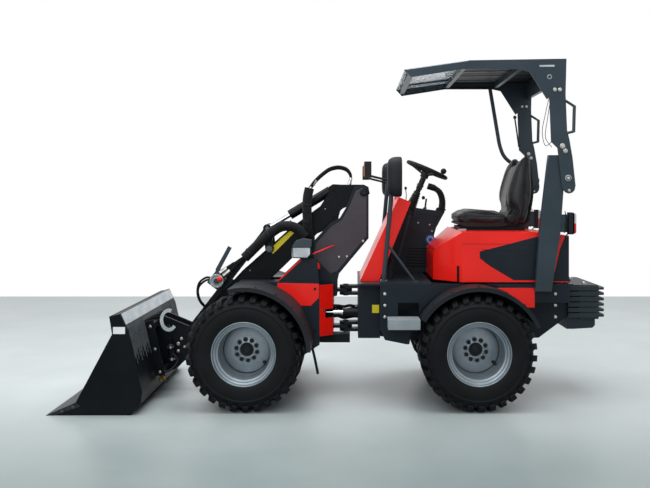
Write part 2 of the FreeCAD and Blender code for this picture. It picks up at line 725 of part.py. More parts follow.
def grab_handle():
    y = POST_INNER_Y + POST_THICKNESS + MOVING_GAP + CANOPY_PLATE / 2
    low = bar(point(REAR_X - 605, y, 1846), point(REAR_X - 655, y, 1858), 9)
    grip = bar(point(REAR_X - 655, y, 1852), point(REAR_X - 660, y, 2032), 11)
    high = bar(point(REAR_X - 660, y, 2027), point(REAR_X - 595, y, 2068), 9)
    return joined([low, grip, high]).cut(canopy_side())


# ---- front frame and tower ----------------------------------------------------------------
TOWER_INNER = BOOM_HALF + TOWER_GAP
TOWER_OUTER = TOWER_INNER + TOWER_PLATE
TOWER_BOTTOM_Z = 445.0
JOINT_HOSE_RADIUS = 13.0
JOINT_HOSE_PLACES = ((-42, 537), (10, 541), (44, 552), (-20, 590), (30, 612), (48, 588))


def tower_plate():
    outline = [
        (-166, 1470), (-166, 1117), (48, 861), (62, 804), (62, 700), (106, 690), (106, TOWER_BOTTOM_Z),
        (285, TOWER_BOTTOM_Z), (285, 820), (257, 982), (229, 1100), (112, 1227), (46, 1260), (0, 1337),
        (-60, 1490), (-131, 1507),
    ]
    return prism(outline, TOWER_INNER, TOWER_OUTER)


def boom_tower():
    plate = tower_plate()
    boom_pin = cross_bar(BOOM_PIVOT, PIN_RADIUS, -TOWER_OUTER - 8, TOWER_OUTER + 8)
    lift_pin = cross_bar(LIFT_BASE, PIN_RADIUS, -TOWER_OUTER - 8, TOWER_OUTER + 8)
    web = block(-150, -160, -TOWER_OUTER, TOWER_OUTER, 1130, 1330)
    return joined([plate, mirrored(plate), boom_pin, lift_pin, web])


def articulation_hoses():
    """Hoses that cross the joint from the rear frame's front plate to the front frame's."""
    start_x = REAR_BOX_FRONT + SEAT_GAP
    end_x = FRONT_BOX_REAR - SEAT_GAP
    hoses = []
    for number, (y, z) in enumerate(JOINT_HOSE_PLACES):
        places = [
            point(start_x, y, z), point(start_x + 44, y, z), point(start_x + 82, y + 12, z - 9),
            point(end_x - 42, y - 4, z + 2), point(end_x, y - 4, z + 2),
        ]
        hoses.append(hose(places, JOINT_HOSE_RADIUS, "joint hose " + str(number)))
    return hoses


def front_frame():
    low_z = 433.0
    inner = TOWER_OUTER + SEAT_GAP
    outline = [
        (183, low_z), (183, 796), (200, 818), front(89, 818), front(89, 640), front(110, AXLE_SEAT_Z),
        front(-110, AXLE_SEAT_Z), front(-150, 305), (297, 301), (183, 376),
    ]
    side = prism(outline, FRAME_HALF - FRAME_PLATE, FRAME_HALF)
    chamfer = plan([
        (FRONT_BOX_REAR, inner), (FRONT_BOX_REAR, 190), (183, FRAME_HALF), (200, FRAME_HALF),
        (200, FRAME_HALF - 14), (FRONT_BOX_REAR + 14, 184), (FRONT_BOX_REAR + 14, inner),
    ], low_z, 796)
    window_low = STEER_Z - STEER_LUG_GAP
    window = block(FRONT_BOX_REAR - 1, 175, inner + 1, 235, window_low, STEER_Z + STEER_LUG_GAP)
    lug_ties = steering_lugs(FRONT_BOX_REAR + 6, STEER_FRONT_X + 26)
    deck = block(190, front(89, 0)[0], inner, FRAME_HALF, 806, 818)
    floor_outline = [
        (FRONT_BOX_REAR, 190), (183, FRAME_HALF), front(-110, FRAME_HALF), front(-110, -FRAME_HALF),
        (183, -FRAME_HALF), (FRONT_BOX_REAR, -190),
    ]
    belly = plan(floor_outline, low_z, TOWER_BOTTOM_Z - SEAT_GAP)
    seat_top = AXLE_SEAT_Z + AXLE_SEAT_PLATE
    axle_seat = block(
        front(-110, 0)[0], front(110, 0)[0], -FRAME_HALF, FRAME_HALF, AXLE_SEAT_Z, seat_top,
    )
    riser = block(front(-122, 0)[0], front(-110, 0)[0], -FRAME_HALF, FRAME_HALF, low_z, seat_top)
    lug_plate = block(FRONT_BOX_REAR, FRONT_BOX_REAR + 14, -TOWER_INNER + 8, TOWER_INNER - 8, low_z, 796)
    pieces = [side, mirrored(side), chamfer.cut(window), mirrored(chamfer), deck, mirrored(deck)]
    pieces += [belly, axle_seat, riser, lug_plate]
    return joined(pieces + lug_ties + front_lugs())


FIN_TOP_Z = 982.0
FIN_Y = 230.0


def headlight():
    outline = [
        (240, 1010), (262, FIN_TOP_Z + SEAT_GAP), (372, 986), (378, 1062), (352, 1108), (300, 1124),
        (240, 1112),
    ]
    return prism(outline, FIN_Y - 46, FIN_Y + 64)


def headlight_stand():
    outline = [
        (478, 818 + SEAT_GAP), (322, 965), (307, FIN_TOP_Z), (200, FIN_TOP_Z), (190, 818 + SEAT_GAP),
    ]
    return prism(outline, FIN_Y, FIN_Y + FRAME_PLATE)


# ---- boom, lift and tilt linkage ----------------------------------------------------------
EAR_INNER = 38.0
# The lift rod's eye rides up into a pocket in the beam's underside while the boom rises.
ROD_POCKET_TOP = (57.0, 1262.0)
ROD_POCKET_HALF = 46.0


def boom():
    outline = [
        (-175, 1440), (-165, 1490), (-131, 1507), (30, 1507), (50, 1440), (125, 1395), (404, 1190),
        (751, 883), (960, 660), (1155, 345), (1165, 290), (1125, 255), (1085, 275), (880, 520),
        (616, 755), (25, 1330), (-110, 1395),
    ]
    beam = prism(outline, -BOOM_HALF, BOOM_HALF)
    ear_outline = [(30, 1507), (95, 1510), (125, 1490), (125, 1445), (200, 1330), (60, 1400)]
    ear = prism(ear_outline, EAR_INNER, BOOM_HALF - 2)
    lift_ear_outline = [(40, 1320), (75, 1185), (105, 1165), (135, 1180), (230, 1140)]
    lift_ear = prism(lift_ear_outline, EAR_INNER, BOOM_HALF - 2)
    rod_pocket = strap(LIFT_EYE, ROD_POCKET_TOP, ROD_POCKET_HALF, -EAR_INNER, EAR_INNER)
    tilt_pin = cross_bar(TILT_BASE, TILT_PIN_RADIUS, -BOOM_HALF, BOOM_HALF)
    lever_tube = cross_bar(LEVER_PIN, 32, -BOOM_HALF, BOOM_HALF)
    beam = beam.cut(rod_pocket)
    beam = joined([beam, ear, mirrored(ear), lift_ear, mirrored(lift_ear), tilt_pin, lever_tube])
    reach = BOOM_HALF + 1
    bores = ((BOOM_PIVOT, PIN_RADIUS), (LEVER_PIN, LINK_PIN_RADIUS), (COUPLER_PIN, LINK_PIN_RADIUS))
    for place, radius in bores:
        beam = beam.cut(cross_bar(place, radius + RUNNING_FIT, -reach, reach))
    return beam


TILT_PIN_RADIUS = 16.0
LINK_PIN_RADIUS = 16.0
LINK_INNER = BOOM_HALF + 6
LINK_OUTER = LINK_INNER + 12
LEVER_INNER = LINK_OUTER + 1
LEVER_OUTER = LEVER_INNER + 12
ARM = (
    TILT_ARM * math.cos(math.radians(TILT_ARM_ANGLE)),
    TILT_ARM * math.sin(math.radians(TILT_ARM_ANGLE)),
)
LEVER_TOP = (LEVER_PIN[0] + ARM[0], LEVER_PIN[1] + ARM[1])
COUPLER_TOP = (COUPLER_PIN[0] + ARM[0], COUPLER_PIN[1] + ARM[1])


def headed_pin(place, radius, half):
    """A pin across the machine with a round head at each end, outside the plates it holds."""
    shaft = cross_bar(place, radius, -half - 8, half + 8)
    head = cross_bar(place, radius + 7, half + 1, half + 9)
    return joined([shaft, head, mirrored(head)])


def link_pin():
    pin = cross_bar(LEVER_TOP, 14, LINK_INNER, LEVER_OUTER + 4)
    return [pin, mirrored(pin)]


def strap(start, end, half_width, y_from, y_to):
    """A flat bar with round ends between two side-view places."""
    dx = end[0] - start[0]
    dz = end[1] - start[1]
    length = math.hypot(dx, dz)
    nx = -dz / length * half_width
    nz = dx / length * half_width
    outline = [
        (start[0] + nx, start[1] + nz), (end[0] + nx, end[1] + nz),
        (end[0] - nx, end[1] - nz), (start[0] - nx, start[1] - nz),
    ]
    flat = prism(outline, y_from, y_to)
    ends = [cross_bar(place, half_width, y_from, y_to) for place in (start, end)]
    return joined([flat] + ends)


def tilt_lever():
    plate = strap(LEVER_PIN, LEVER_TOP, 30, LEVER_INNER, LEVER_OUTER)
    plate = plate.cut(cross_bar(LEVER_PIN, LINK_PIN_RADIUS + RUNNING_FIT, 0, 200))
    plate = plate.cut(cross_bar(LEVER_TOP, 14 + RUNNING_FIT, 0, 200))
    return [plate, mirrored(plate)]


def tilt_link():
    plate = strap(LEVER_TOP, COUPLER_TOP, 18, LINK_INNER, LINK_OUTER)
    plate = plate.cut(cross_bar(LEVER_TOP, 14 + RUNNING_FIT, 0, 200))
    plate = plate.cut(cross_bar(COUPLER_TOP, 12, 0, 200))
    return [plate, mirrored(plate)]


def cylinder_barrel(base, eye, barrel_length, radius, eye_half, bore):
    """A barrel with an eye at its base, aimed from base to eye, bored for its rod."""
    near = along(base, eye, radius * 0.6)
    far = along(base, eye, barrel_length)
    start = point(near[0], 0, near[1])
    end = point(far[0], 0, far[1])
    shell = bar(start, end, radius)
    lug = cross_bar(base, eye_half[1], -eye_half[0], eye_half[0])
    body = joined([shell, lug])
    deep = along(base, eye, eye_half[1] + 12)
    hollow = bar(point(deep[0], 0, deep[1]), end, eye_half[3] + 2)
    gland = along(base, eye, barrel_length - 30)
    hollow = hollow.cut(bar(point(gland[0], 0, gland[1]), end, eye_half[3] + 3))
    throat = bar(point(gland[0], 0, gland[1]), end, eye_half[3] + RUNNING_FIT)
    body = body.cut(hollow).cut(throat)
    return body.cut(cross_bar(base, bore + RUNNING_FIT, -200, 200))


def cylinder_rod(base, eye, rod_start, rod_radius, eye_radius, eye_half):
    near = along(base, eye, rod_start)
    rod = bar(point(near[0], 0, near[1]), point(eye[0], 0, eye[1]), rod_radius)
    return joined([rod, cross_bar(eye, eye_radius, -eye_half, eye_half)])


LIFT_BARREL_LENGTH = 490.0
TILT_BARREL_LENGTH = 370.0
STEER_BARREL_LENGTH = 250.0


def lift_cylinder():
    barrel = cylinder_barrel(LIFT_BASE, LIFT_EYE, LIFT_BARREL_LENGTH, 38, (45, 38, 0, 20), PIN_RADIUS)
    rod = cylinder_rod(LIFT_BASE, LIFT_EYE, 70, 20, 30, 34)
    return barrel, rod


def tilt_cylinder():
    barrel = cylinder_barrel(TILT_BASE, LEVER_TOP, TILT_BARREL_LENGTH, 36, (36, 30, 0, 17), 16)
    rod = cylinder_rod(TILT_BASE, LEVER_TOP, 118, 17, 26, 40)
    return barrel, rod


def tilt_piston():
    start = along(TILT_BASE, LEVER_TOP, 48)
    end = along(TILT_BASE, LEVER_TOP, 60)
    return bar(point(start[0], 0, start[1]), point(end[0], 0, end[1]), 19 - RUNNING_FIT)


def steering_cylinder():
    rear_end = point(STEER_REAR_X, STEER_Y, STEER_Z)
    front_end = point(STEER_FRONT_X, STEER_Y, STEER_Z)
    gland = point(STEER_REAR_X + STEER_BARREL_LENGTH, STEER_Y, STEER_Z)
    low = STEER_Z - STEER_EYE_HALF
    high = STEER_Z + STEER_EYE_HALF
    rear_eye = upright(STEER_REAR_X, STEER_Y, 24, low, high)
    barrel = joined([bar(rear_end + point(15, 0, 0), gland, 26), rear_eye])
    barrel = barrel.cut(bar(rear_end + point(36, 0, 0), gland, 14 + RUNNING_FIT))
    barrel = barrel.cut(upright(STEER_REAR_X, STEER_Y, STEER_PIN_RADIUS + RUNNING_FIT, low - 15, high + 15))
    front_eye = upright(STEER_FRONT_X, STEER_Y, 22, low, high)
    rod = joined([bar(rear_end + point(138, 0, 0), front_end, 14), front_eye])
    return barrel, rod


# ---- hoses and coupling block on the boom --------------------------------------------------
LINE_LENGTH = math.dist(LEVER_PIN, COUPLER_PIN)
LINE_WAY = (
    (COUPLER_PIN[0] - LEVER_PIN[0]) / LINE_LENGTH,
    (COUPLER_PIN[1] - LEVER_PIN[1]) / LINE_LENGTH,
)
BLOCK_START = 350.0
BLOCK_END = 455.0
BLOCK_TOP = 205.0
ARM_BOTTOM = TILT_ARM + 18.0 + 2 * MOVING_GAP
HOSE_Y = 140.0
SLEEVE_RADIUS = 36.0
ARCH_HOSE_RADIUS = 9.5


def boom_line(distance, offset):
    """A side-view place by its distance along the lower boom and its offset above it."""
    x = LEVER_PIN[0] + LINE_WAY[0] * distance - LINE_WAY[1] * offset
    z = LEVER_PIN[1] + LINE_WAY[1] * distance + LINE_WAY[0] * offset
    return (x, z)


def multi_coupler():
    """A hydraulic coupling block beside the boom, with its bracket, face plate and hand lever."""
    foot = [
        boom_line(BLOCK_START, 40), boom_line(BLOCK_START, BLOCK_TOP), boom_line(BLOCK_END, BLOCK_TOP),
        boom_line(BLOCK_END, 40),
    ]
    arm = [
        boom_line(BLOCK_START, ARM_BOTTOM), boom_line(BLOCK_START, BLOCK_TOP),
        boom_line(BLOCK_END, BLOCK_TOP), boom_line(BLOCK_END, ARM_BOTTOM),
    ]
    body = [
        boom_line(BLOCK_START, 108), boom_line(BLOCK_START, BLOCK_TOP), boom_line(BLOCK_END, BLOCK_TOP),
        boom_line(BLOCK_END, 108),
    ]
    centre = boom_line((BLOCK_START + BLOCK_END) / 2, 155)
    lever_foot = boom_line(BLOCK_START + 20, BLOCK_TOP - 10)
    lever = bar(point(lever_foot[0], 150, lever_foot[1]), point(832, 150, 1057), 10)
    shapes = [
        prism(foot, -10, 10), prism(arm, -10, 165), prism(body, 115, 165),
        cross_bar(centre, 50, 160, 182), cross_bar(centre, 17, 180, 196), lever,
    ]
    return joined(shapes).cut(boom())


def boom_hoses():
    """Two hoses that arch over the boom's rear, the sleeve beside it, and the sleeve to the block."""
    arches = []
    for y, lift in ((18, 0), (44, 12)):
        route = [
            (-24, 1508, y), (-42, 1560 + lift, y), (-12, 1612 + lift, y), (50, 1630 + lift, y),
            (118, 1616 + lift, y + 8), (178, 1570 + lift, y + 26), (228, 1520 + lift, y + 50),
            (262, 1468 + lift, y + 74),
        ]
        arches.append(hose([point(x, py, z) for x, z, py in route], ARCH_HOSE_RADIUS, "arch hose"))
    drop_route = [
        (262, 1480, 128), (276, 1420, 132), (280, 1345, 134), (277, 1265, 133), (275, 1195, 131),
        (275, 1146, 110), (275, 1134, BOOM_HALF),
    ]
    drop = [point(x, y, z) for x, z, y in drop_route]
    bundle = hose(drop, SLEEVE_RADIUS - 2, "upright sleeve")
    sleeve_route = [
        (290, 1130), (332, 1180), (398, 1211), (472, 1204), (556, 1146), (648, 1058), (728, 978),
    ]
    sleeve = hose([point(x, HOSE_Y, z) for x, z in sleeve_route], SLEEVE_RADIUS, "sleeve")
    shapes = arches + [bundle, sleeve]
    for y, offset in ((122, 138), (122, 172), (156, 138), (156, 172)):
        place = boom_line(BLOCK_START - SEAT_GAP, offset)
        end = point(place[0], y, place[1])
        start = point(700, HOSE_Y + (y - HOSE_Y) * 0.7, 1006)
        shapes.append(bar(start, end, 10))
        shapes.append(bar((start + end) * 0.5, end, 14))
    return joined(shapes).cut(boom()).cut(multi_coupler())


# ---- tool coupler and bucket --------------------------------------------------------------
def bucket_back(z):
    """How far forward the bucket's back sheet stands at a height."""
    rise = (z - BUCKET_BACK_LOW[1]) / (BUCKET_BACK_HIGH[1] - BUCKET_BACK_LOW[1])
    return BUCKET_BACK_LOW[0] + rise * (BUCKET_BACK_HIGH[0] - BUCKET_BACK_LOW[0])


def coupler_face(z):
    return bucket_back(z) - SEAT_GAP


def tool_coupler():
    cheek_outline = [
        (COUPLER_PIN[0] - 38, 290), (COUPLER_PIN[0] - 25, 262), (COUPLER_PIN[0] + 30, 240), (1240, 165),
        (coupler_face(165), 165), (coupler_face(540), 540), (1330, 560), (COUPLER_TOP[0] + 20, 490),
        (COUPLER_TOP[0] - 35, 470), (COUPLER_TOP[0] - 35, 420),
    ]
    cheek = prism(cheek_outline, LEVER_INNER, LEVER_INNER + 14)
    cheek = cheek.cut(cross_bar(COUPLER_PIN, LINK_PIN_RADIUS + RUNNING_FIT, 0, 300))
    pin = cross_bar(COUPLER_TOP, 12 - RUNNING_FIT, LINK_INNER, LEVER_INNER + 14)
    frame_half = 300.0
    plate_outline = [(1262, 165), (coupler_face(165), 165), (coupler_face(540), 540), (1350, 556)]
    outer = prism(plate_outline, frame_half - 12, frame_half)
    low = prism([(1270, 170), (1310, 170), (1318, 205), (1278, 205)], -frame_half, frame_half)
    high = prism([(1345, 490), (1385, 490), (1394, 528), (1354, 528)], -frame_half, frame_half)
    return joined([cheek, mirrored(cheek), pin, mirrored(pin), low, high, outer, mirrored(outer)])


def bucket():
    side_outline = [
        (BUCKET_TIP_X, 0), (1748, 85), (1513, 527), (1529, 628), (1460, 660), BUCKET_BACK_HIGH,
        BUCKET_BACK_LOW, (1325, 80), (1395, 0),
    ]
    side = prism(side_outline, BUCKET_HALF - 12, BUCKET_HALF)
    outer = [
        (BUCKET_TIP_X, 0), (BUCKET_TIP_X - 40, 12), (1400, 12), (1338, 84), (1330, 156), (1421, 550),
        (1466, 648), (1529, 628), (1532, 638), (1460, 660), BUCKET_BACK_HIGH, BUCKET_BACK_LOW,
        (1325, 80), (1395, 0),
    ]
    shell = prism(outer, -BUCKET_HALF + 1, BUCKET_HALF - 1)
    return joined([side, mirrored(side), shell])


# ---- the whole machine --------------------------------------------------------------------
def main():
    os.makedirs("parts", exist_ok=True)
    wheels()
    save("rear_frame", rear_frame())
    save("body_shell", body_shell())
    rear_fender = rear_fender_skirt()
    save("rear_fenders", rear_fender, mirrored(rear_fender))
    save("floor_plate", floor_plate())
    step = side_step()
    save("side_steps", step, mirrored(step))
    save("dash_cowl", dash_cowl())
    save("side_console", side_console())
    save("steering_column", steering_column())
    save("steering_wheel", steering_wheel())
    save("driver_controls", joystick(), small_lever(), pedal(90, 170), pedal(-150, -70))
    post = mirror_post()
    save("mirror_posts", joined([post, left_brace()]), mirrored(post))
    glass = mirror()
    save("mirrors", glass, mirrored(glass))
    lamp = lamp_stalk()
    save("marker_lamps", lamp, mirrored(lamp))
    tail = rear_lamp()
    save("tail_lights", tail, mirrored(tail))
    lower = lower_post()
    save("lower_posts", lower, mirrored(lower))
    save("engine_block", engine_block())
    save("rear_axle", axle(REAR_X))
    save("counterweight", counterweight())
    save("engine_hood", engine_hood())
    save("seat_base", seat_base())
    save("seat_cushion", seat_cushion())
    save("seat_back", seat_back())
    save("canopy_frame", canopy_frame())
    save("canopy_roof", canopy_roof())
    save("canopy_window", canopy_window())
    handle = grab_handle()
    save("grab_handles", handle, mirrored(handle))
    save("front_frame", front_frame())
    save("boom_tower", boom_tower())
    save("front_axle", joined([axle(FRONT_X), drive_housing()]))
    front_fender = fender(FRONT_X, 76, 178, FRAME_HALF + SEAT_GAP)
    save("front_fenders", front_fender, mirrored(front_fender))
    lamp = headlight()
    save("headlights", lamp, mirrored(lamp))
    stand = headlight_stand()
    save("headlight_stands", stand, mirrored(stand))
    save("boom", boom())
    save("multi_coupler", multi_coupler())
    save("boom_hoses", boom_hoses())
    save("articulation_hoses", *articulation_hoses())
    save("coupler_pin", headed_pin(COUPLER_PIN, LINK_PIN_RADIUS, LEVER_INNER + 14))
    save("lever_pin", headed_pin(LEVER_PIN, LINK_PIN_RADIUS, LEVER_OUTER))
    save("link_pins", *link_pin())
    save("tilt_cylinder_piston", tilt_piston())
    save("tilt_lever", *tilt_lever())
    save("tilt_link", *tilt_link())
    cylinders = (("lift", lift_cylinder()), ("tilt", tilt_cylinder()), ("steering", steering_cylinder()))
    for name, pair in cylinders:
        save(name + "_cylinder_barrel", pair[0])
        save(name + "_cylinder_rod", pair[1])
    save("tool_coupler", tool_coupler())
    save("bucket", bucket())


main()
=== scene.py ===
import math
import bmesh
import bpy
from mathutils import Matrix, Vector


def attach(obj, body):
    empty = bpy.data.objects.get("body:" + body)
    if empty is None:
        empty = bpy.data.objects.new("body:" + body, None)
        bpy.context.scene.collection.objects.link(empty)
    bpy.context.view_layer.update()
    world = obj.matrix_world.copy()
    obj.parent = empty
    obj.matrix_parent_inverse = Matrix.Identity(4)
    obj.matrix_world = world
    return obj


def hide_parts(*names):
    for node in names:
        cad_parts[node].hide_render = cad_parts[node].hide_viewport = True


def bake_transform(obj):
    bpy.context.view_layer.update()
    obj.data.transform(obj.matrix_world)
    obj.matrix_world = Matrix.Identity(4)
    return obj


# The looks of a mini wheel loader: finishes, tyre treads, trim, seat and small parts.
# The frame is in metres: +X towards the bucket, +Y the driver's left, +Z up. Shapes are in
# millimetres from the articulation's axis, the machine's middle and the ground, and at()
# turns them into the frame's metres. Textures, the seat's covers, the floor, the lamps and
# the camera are in metres.

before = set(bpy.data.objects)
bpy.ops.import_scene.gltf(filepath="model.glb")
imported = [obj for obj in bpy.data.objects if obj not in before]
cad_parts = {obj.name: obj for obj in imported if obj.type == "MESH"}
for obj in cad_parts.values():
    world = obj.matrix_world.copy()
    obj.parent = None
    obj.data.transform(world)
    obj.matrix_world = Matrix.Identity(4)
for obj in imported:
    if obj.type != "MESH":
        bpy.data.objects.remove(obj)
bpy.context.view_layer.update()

AHEAD, ACROSS, UP = (1, 0, 0), (0, 1, 0), (0, 0, 1)


# ---- materials ----------------------------------------------------------------------------
def linear(r, g, b):
    """A display colour of 0 to 255 as the linear values that shaders take."""
    def channel(value):
        value = value / 255
        return value / 12.92 if value <= 0.04045 else ((value + 0.055) / 1.055) ** 2.4
    return (channel(r), channel(g), channel(b), 1.0)


class Look:
    """The nodes of a material or world; each step on its colour or its bump goes over the last."""

    def __init__(self, owner):
        owner.use_nodes = True
        self.owner = owner
        self.tree = owner.node_tree
        self.shader = self.tree.nodes.get("Principled BSDF")
        self.colour = None
        self.normal = None

    def node(self, kind, links=(), values=(), **settings):
        """A new node: its settings, its fixed inputs and the sockets linked into it."""
        made = self.tree.nodes.new("ShaderNode" + kind)
        for name, value in settings.items():
            setattr(made, name, value)
        for name, value in dict(values).items():
            made.inputs[name].default_value = value
        for name, source in dict(links).items():
            self.tree.links.new(source, made.inputs[name])
        return made

    def into_shader(self, name, source):
        self.tree.links.new(source, self.shader.inputs[name])

    def set(self, **values):
        """Constant values on the shader's own sockets; _ stands for a space in their names."""
        for name, value in values.items():
            self.shader.inputs[name.replace("_", " ")].default_value = value

    def texture(self, kind, scale, stretch=(1, 1, 1), **values):
        """A procedural texture in object space, as a 0 to 1 pattern."""
        place = self.node("TexCoord")
        mapping = self.node("Mapping", {"Vector": place.outputs["Object"]}, {"Scale": stretch})
        values = {name.title(): value for name, value in values.items()}
        made = self.node("Tex" + kind, {"Vector": mapping.outputs["Vector"]}, {"Scale": scale, **values})
        return made.outputs["Distance" if kind == "Voronoi" else "Fac"]

    def tones(self, pattern, low, deep, high, light):
        """The base colour: a deep tone up to one level of the pattern, a light one from another."""
        made = self.node("ValToRGB", {"Fac": pattern})
        ends = made.color_ramp.elements
        ends[0].position, ends[0].color = low, linear(*deep)
        ends[1].position, ends[1].color = high, linear(*light)
        self.cover(made.outputs["Color"])

    def cover(self, colour):
        self.colour = colour
        self.into_shader("Base Color", colour)

    def spread(self, pattern, low, high):
        """Maps a 0 to 1 pattern onto low to high."""
        return self.node("MapRange", {"Value": pattern}, {"To Min": low, "To Max": high}).outputs["Result"]

    def gloss(self, pattern, low, high):
        self.into_shader("Roughness", self.spread(pattern, low, high))

    def mix(self, share, other, **settings):
        """Turns the base colour towards another one by a share of 0 to 1."""
        made = self.node("Mix", {"Factor": share}, data_type="RGBA", **settings)
        first, second = [socket for socket in made.inputs if socket.type == "RGBA"]
        self.tree.links.new(self.colour, first)
        second.default_value = other
        self.cover([socket for socket in made.outputs if socket.type == "RGBA"][0])

    def mix_in_patches(self, share, other, scale, detail, roughness):
        patches = self.texture("Noise", scale, detail=detail, roughness=roughness)
        product = self.node("Math", {0: share, 1: patches}, operation="MULTIPLY")
        self.mix(product.outputs["Value"], other)

    def dust(self, dust, amount):
        """A thin dust that lies on what faces up, broken up by noise."""
        geometry = self.node("NewGeometry")
        split = self.node("SeparateXYZ", {"Vector": geometry.outputs["Normal"]})
        upward = self.node("MapRange", {"Value": split.outputs["Z"]}, {"From Min": 0.2, "To Max": amount})
        self.mix_in_patches(upward.outputs["Result"], linear(*dust), 9.0, 6.0, 0.65)

    def wear(self, worn, amount):
        """Paint rubbed thin along sharp edges, in patches, and the edges a little rounded."""
        rounded_edge = self.node("Bevel", values={"Radius": 0.0035}, samples=4).outputs["Normal"]
        geometry = self.node("NewGeometry")
        normals = {0: rounded_edge, 1: geometry.outputs["True Normal"]}
        turn = self.node("VectorMath", normals, operation="DOT_PRODUCT")
        limits = {"From Min": 0.98, "From Max": 0.8, "To Max": amount}
        edge = self.node("MapRange", {"Value": turn.outputs["Value"]}, limits)
        self.mix_in_patches(edge.outputs["Result"], worn, 24.0, 5.0, 0.7)
        self.normal = rounded_edge

    def bump(self, pattern, distance, strength=1.0):
        links = {"Height": pattern}
        if self.normal is not None:
            links["Normal"] = self.normal
        made = self.node("Bump", links, {"Distance": distance, "Strength": strength})
        self.normal = made.outputs["Normal"]
        self.into_shader("Normal", self.normal)


def paint(name, deep, light, rough, grain_scale=420.0, grain=0.00006, coat=0.0, metallic=0.0,
          specular=0.5, dust=0.12, worn=0.5):
    """Sprayed paint: two close tones, an orange-peel skin, uneven gloss, dust and worn edges."""
    look = Look(bpy.data.materials.new(name))
    look.tones(look.texture("Noise", 3.5, detail=7.0, roughness=0.6), 0.32, deep, 0.7, light)
    look.dust((150, 152, 150), dust)
    look.wear(tuple(min(1.0, part * 2.2 + 0.03) for part in linear(*light)[:3]) + (1.0,), worn)
    look.gloss(look.texture("Noise", 26.0, detail=5.0, roughness=0.7), *rough)
    look.bump(look.texture("Noise", grain_scale, detail=2.0, roughness=0.5), grain)
    look.set(Metallic=metallic, Coat_Weight=coat, Coat_Roughness=0.08, Specular_IOR_Level=specular)
    return look.owner


def moulded(name, deep, light, rough=(0.45, 0.62), pebble=900.0, depth=0.00012, specular=0.2, dust=0.04):
    """Moulded plastic: a fine pebbled grain, faint flow marks and softened gloss."""
    look = Look(bpy.data.materials.new(name))
    flow = look.texture("Noise", 6.0, stretch=(1, 1, 2.5), detail=6.0, roughness=0.55)
    look.tones(flow, 0.3, deep, 0.72, light)
    look.dust((120, 122, 120), dust)
    look.gloss(flow, *rough)
    look.bump(look.texture("Voronoi", pebble), depth)
    look.set(Specular_IOR_Level=specular)
    return look.owner


def rubber(name, deep, light, dust, amount):
    """Tyre or hose rubber: black with brown-grey dust in patches and a fine cast skin."""
    look = Look(bpy.data.materials.new(name))
    cloud = look.texture("Noise", 7.0, detail=8.0, roughness=0.68)
    look.tones(cloud, 0.35, deep, 0.75, light)
    look.dust(dust, amount)
    look.gloss(cloud, 0.42, 0.68)
    look.bump(look.texture("Noise", 260.0, detail=4.0, roughness=0.6), 0.0004, 0.6)
    look.set(Specular_IOR_Level=0.13)
    return look.owner


def metal(name, deep, light, rough, grain=0.00002):
    """Bare or plated metal with a fine grain and smudges."""
    look = Look(bpy.data.materials.new(name))
    smudge = look.texture("Noise", 14.0, detail=6.0, roughness=0.6)
    look.tones(smudge, 0.3, deep, 0.7, light)
    look.gloss(smudge, *rough)
    look.bump(look.texture("Noise", 300.0, detail=3.0, roughness=0.6), grain)
    look.set(Metallic=1.0)
    return look.owner


def vinyl(name, deep, light):
    """Black seat vinyl: cell grain, soft creases and an even sheen."""
    look = Look(bpy.data.materials.new(name))
    cloud = look.texture("Noise", 11.0, detail=7.0, roughness=0.6)
    look.tones(cloud, 0.3, deep, 0.75, light)
    look.gloss(cloud, 0.3, 0.46)
    look.bump(look.texture("Noise", 42.0, detail=6.0, roughness=0.75), 0.0006, 0.4)
    look.bump(look.texture("Voronoi", 620.0), 0.00025, 0.8)
    look.set(Sheen_Weight=0.04, Specular_IOR_Level=0.3)
    return look.owner


def woven_sleeve(name):
    """A woven abrasion sleeve: fine crossed ribs over black nylon."""
    look = Look(bpy.data.materials.new(name))
    look.tones(look.texture("Noise", 18.0, detail=6.0, roughness=0.6), 0.3, (7, 9, 12), 0.75, (24, 27, 32))
    look.bump(look.texture("Wave", 170.0, distortion=1.5, detail=2.0), 0.0008, 0.7)
    look.bump(look.texture("Voronoi", 480.0), 0.0004, 0.7)
    look.set(Roughness=0.72, Specular_IOR_Level=0.15, Sheen_Weight=0.04)
    return look.owner


def clear_panel(name):
    """Twin-wall polycarbonate: milky, with its inner walls as fine ribs across the panel."""
    look = Look(bpy.data.materials.new(name))
    walls = look.texture("Wave", 14.0, stretch=(0, 1, 0))
    look.tones(walls, 0.35, (214, 224, 228), 0.62, (246, 249, 250))
    look.gloss(look.texture("Noise", 30.0, detail=5.0, roughness=0.6), 0.12, 0.3)
    look.bump(walls, 0.002, 0.6)
    look.set(Transmission_Weight=0.55, IOR=1.3)
    return look.owner


DARK = paint("anthracite_paint", (21, 29, 37), (28, 37, 45), (0.3, 0.46), coat=0.03, specular=0.12, dust=0.03)
SLATE = paint("slate_paint", (38, 50, 59), (47, 60, 69), (0.3, 0.46), coat=0.06, specular=0.2, dust=0.04)
PANEL = paint("tower_panel_paint", (58, 57, 64), (68, 66, 73), (0.36, 0.5), specular=0.2, dust=0.03)
RED = paint("red_paint", (226, 22, 13), (238, 29, 19), (0.24, 0.36), coat=0.14, specular=0.25, dust=0.02,
            worn=0.15)
BLACK = paint("black_gloss_paint", (9, 13, 17), (17, 22, 27), (0.26, 0.42), coat=0.04, specular=0.12,
              dust=0.03)
BUCKET = paint("bucket_paint", (8, 12, 16), (16, 21, 26), (0.3, 0.48), coat=0.03, specular=0.08, dust=0.025)
GREY = paint("grey_paint", (112, 122, 128), (142, 152, 158), (0.34, 0.5), grain_scale=240.0, dust=0.05)
WEIGHT = paint("weight_paint", (30, 40, 47), (39, 50, 57), (0.42, 0.6), 120.0, 0.0006, specular=0.25,
               dust=0.08)
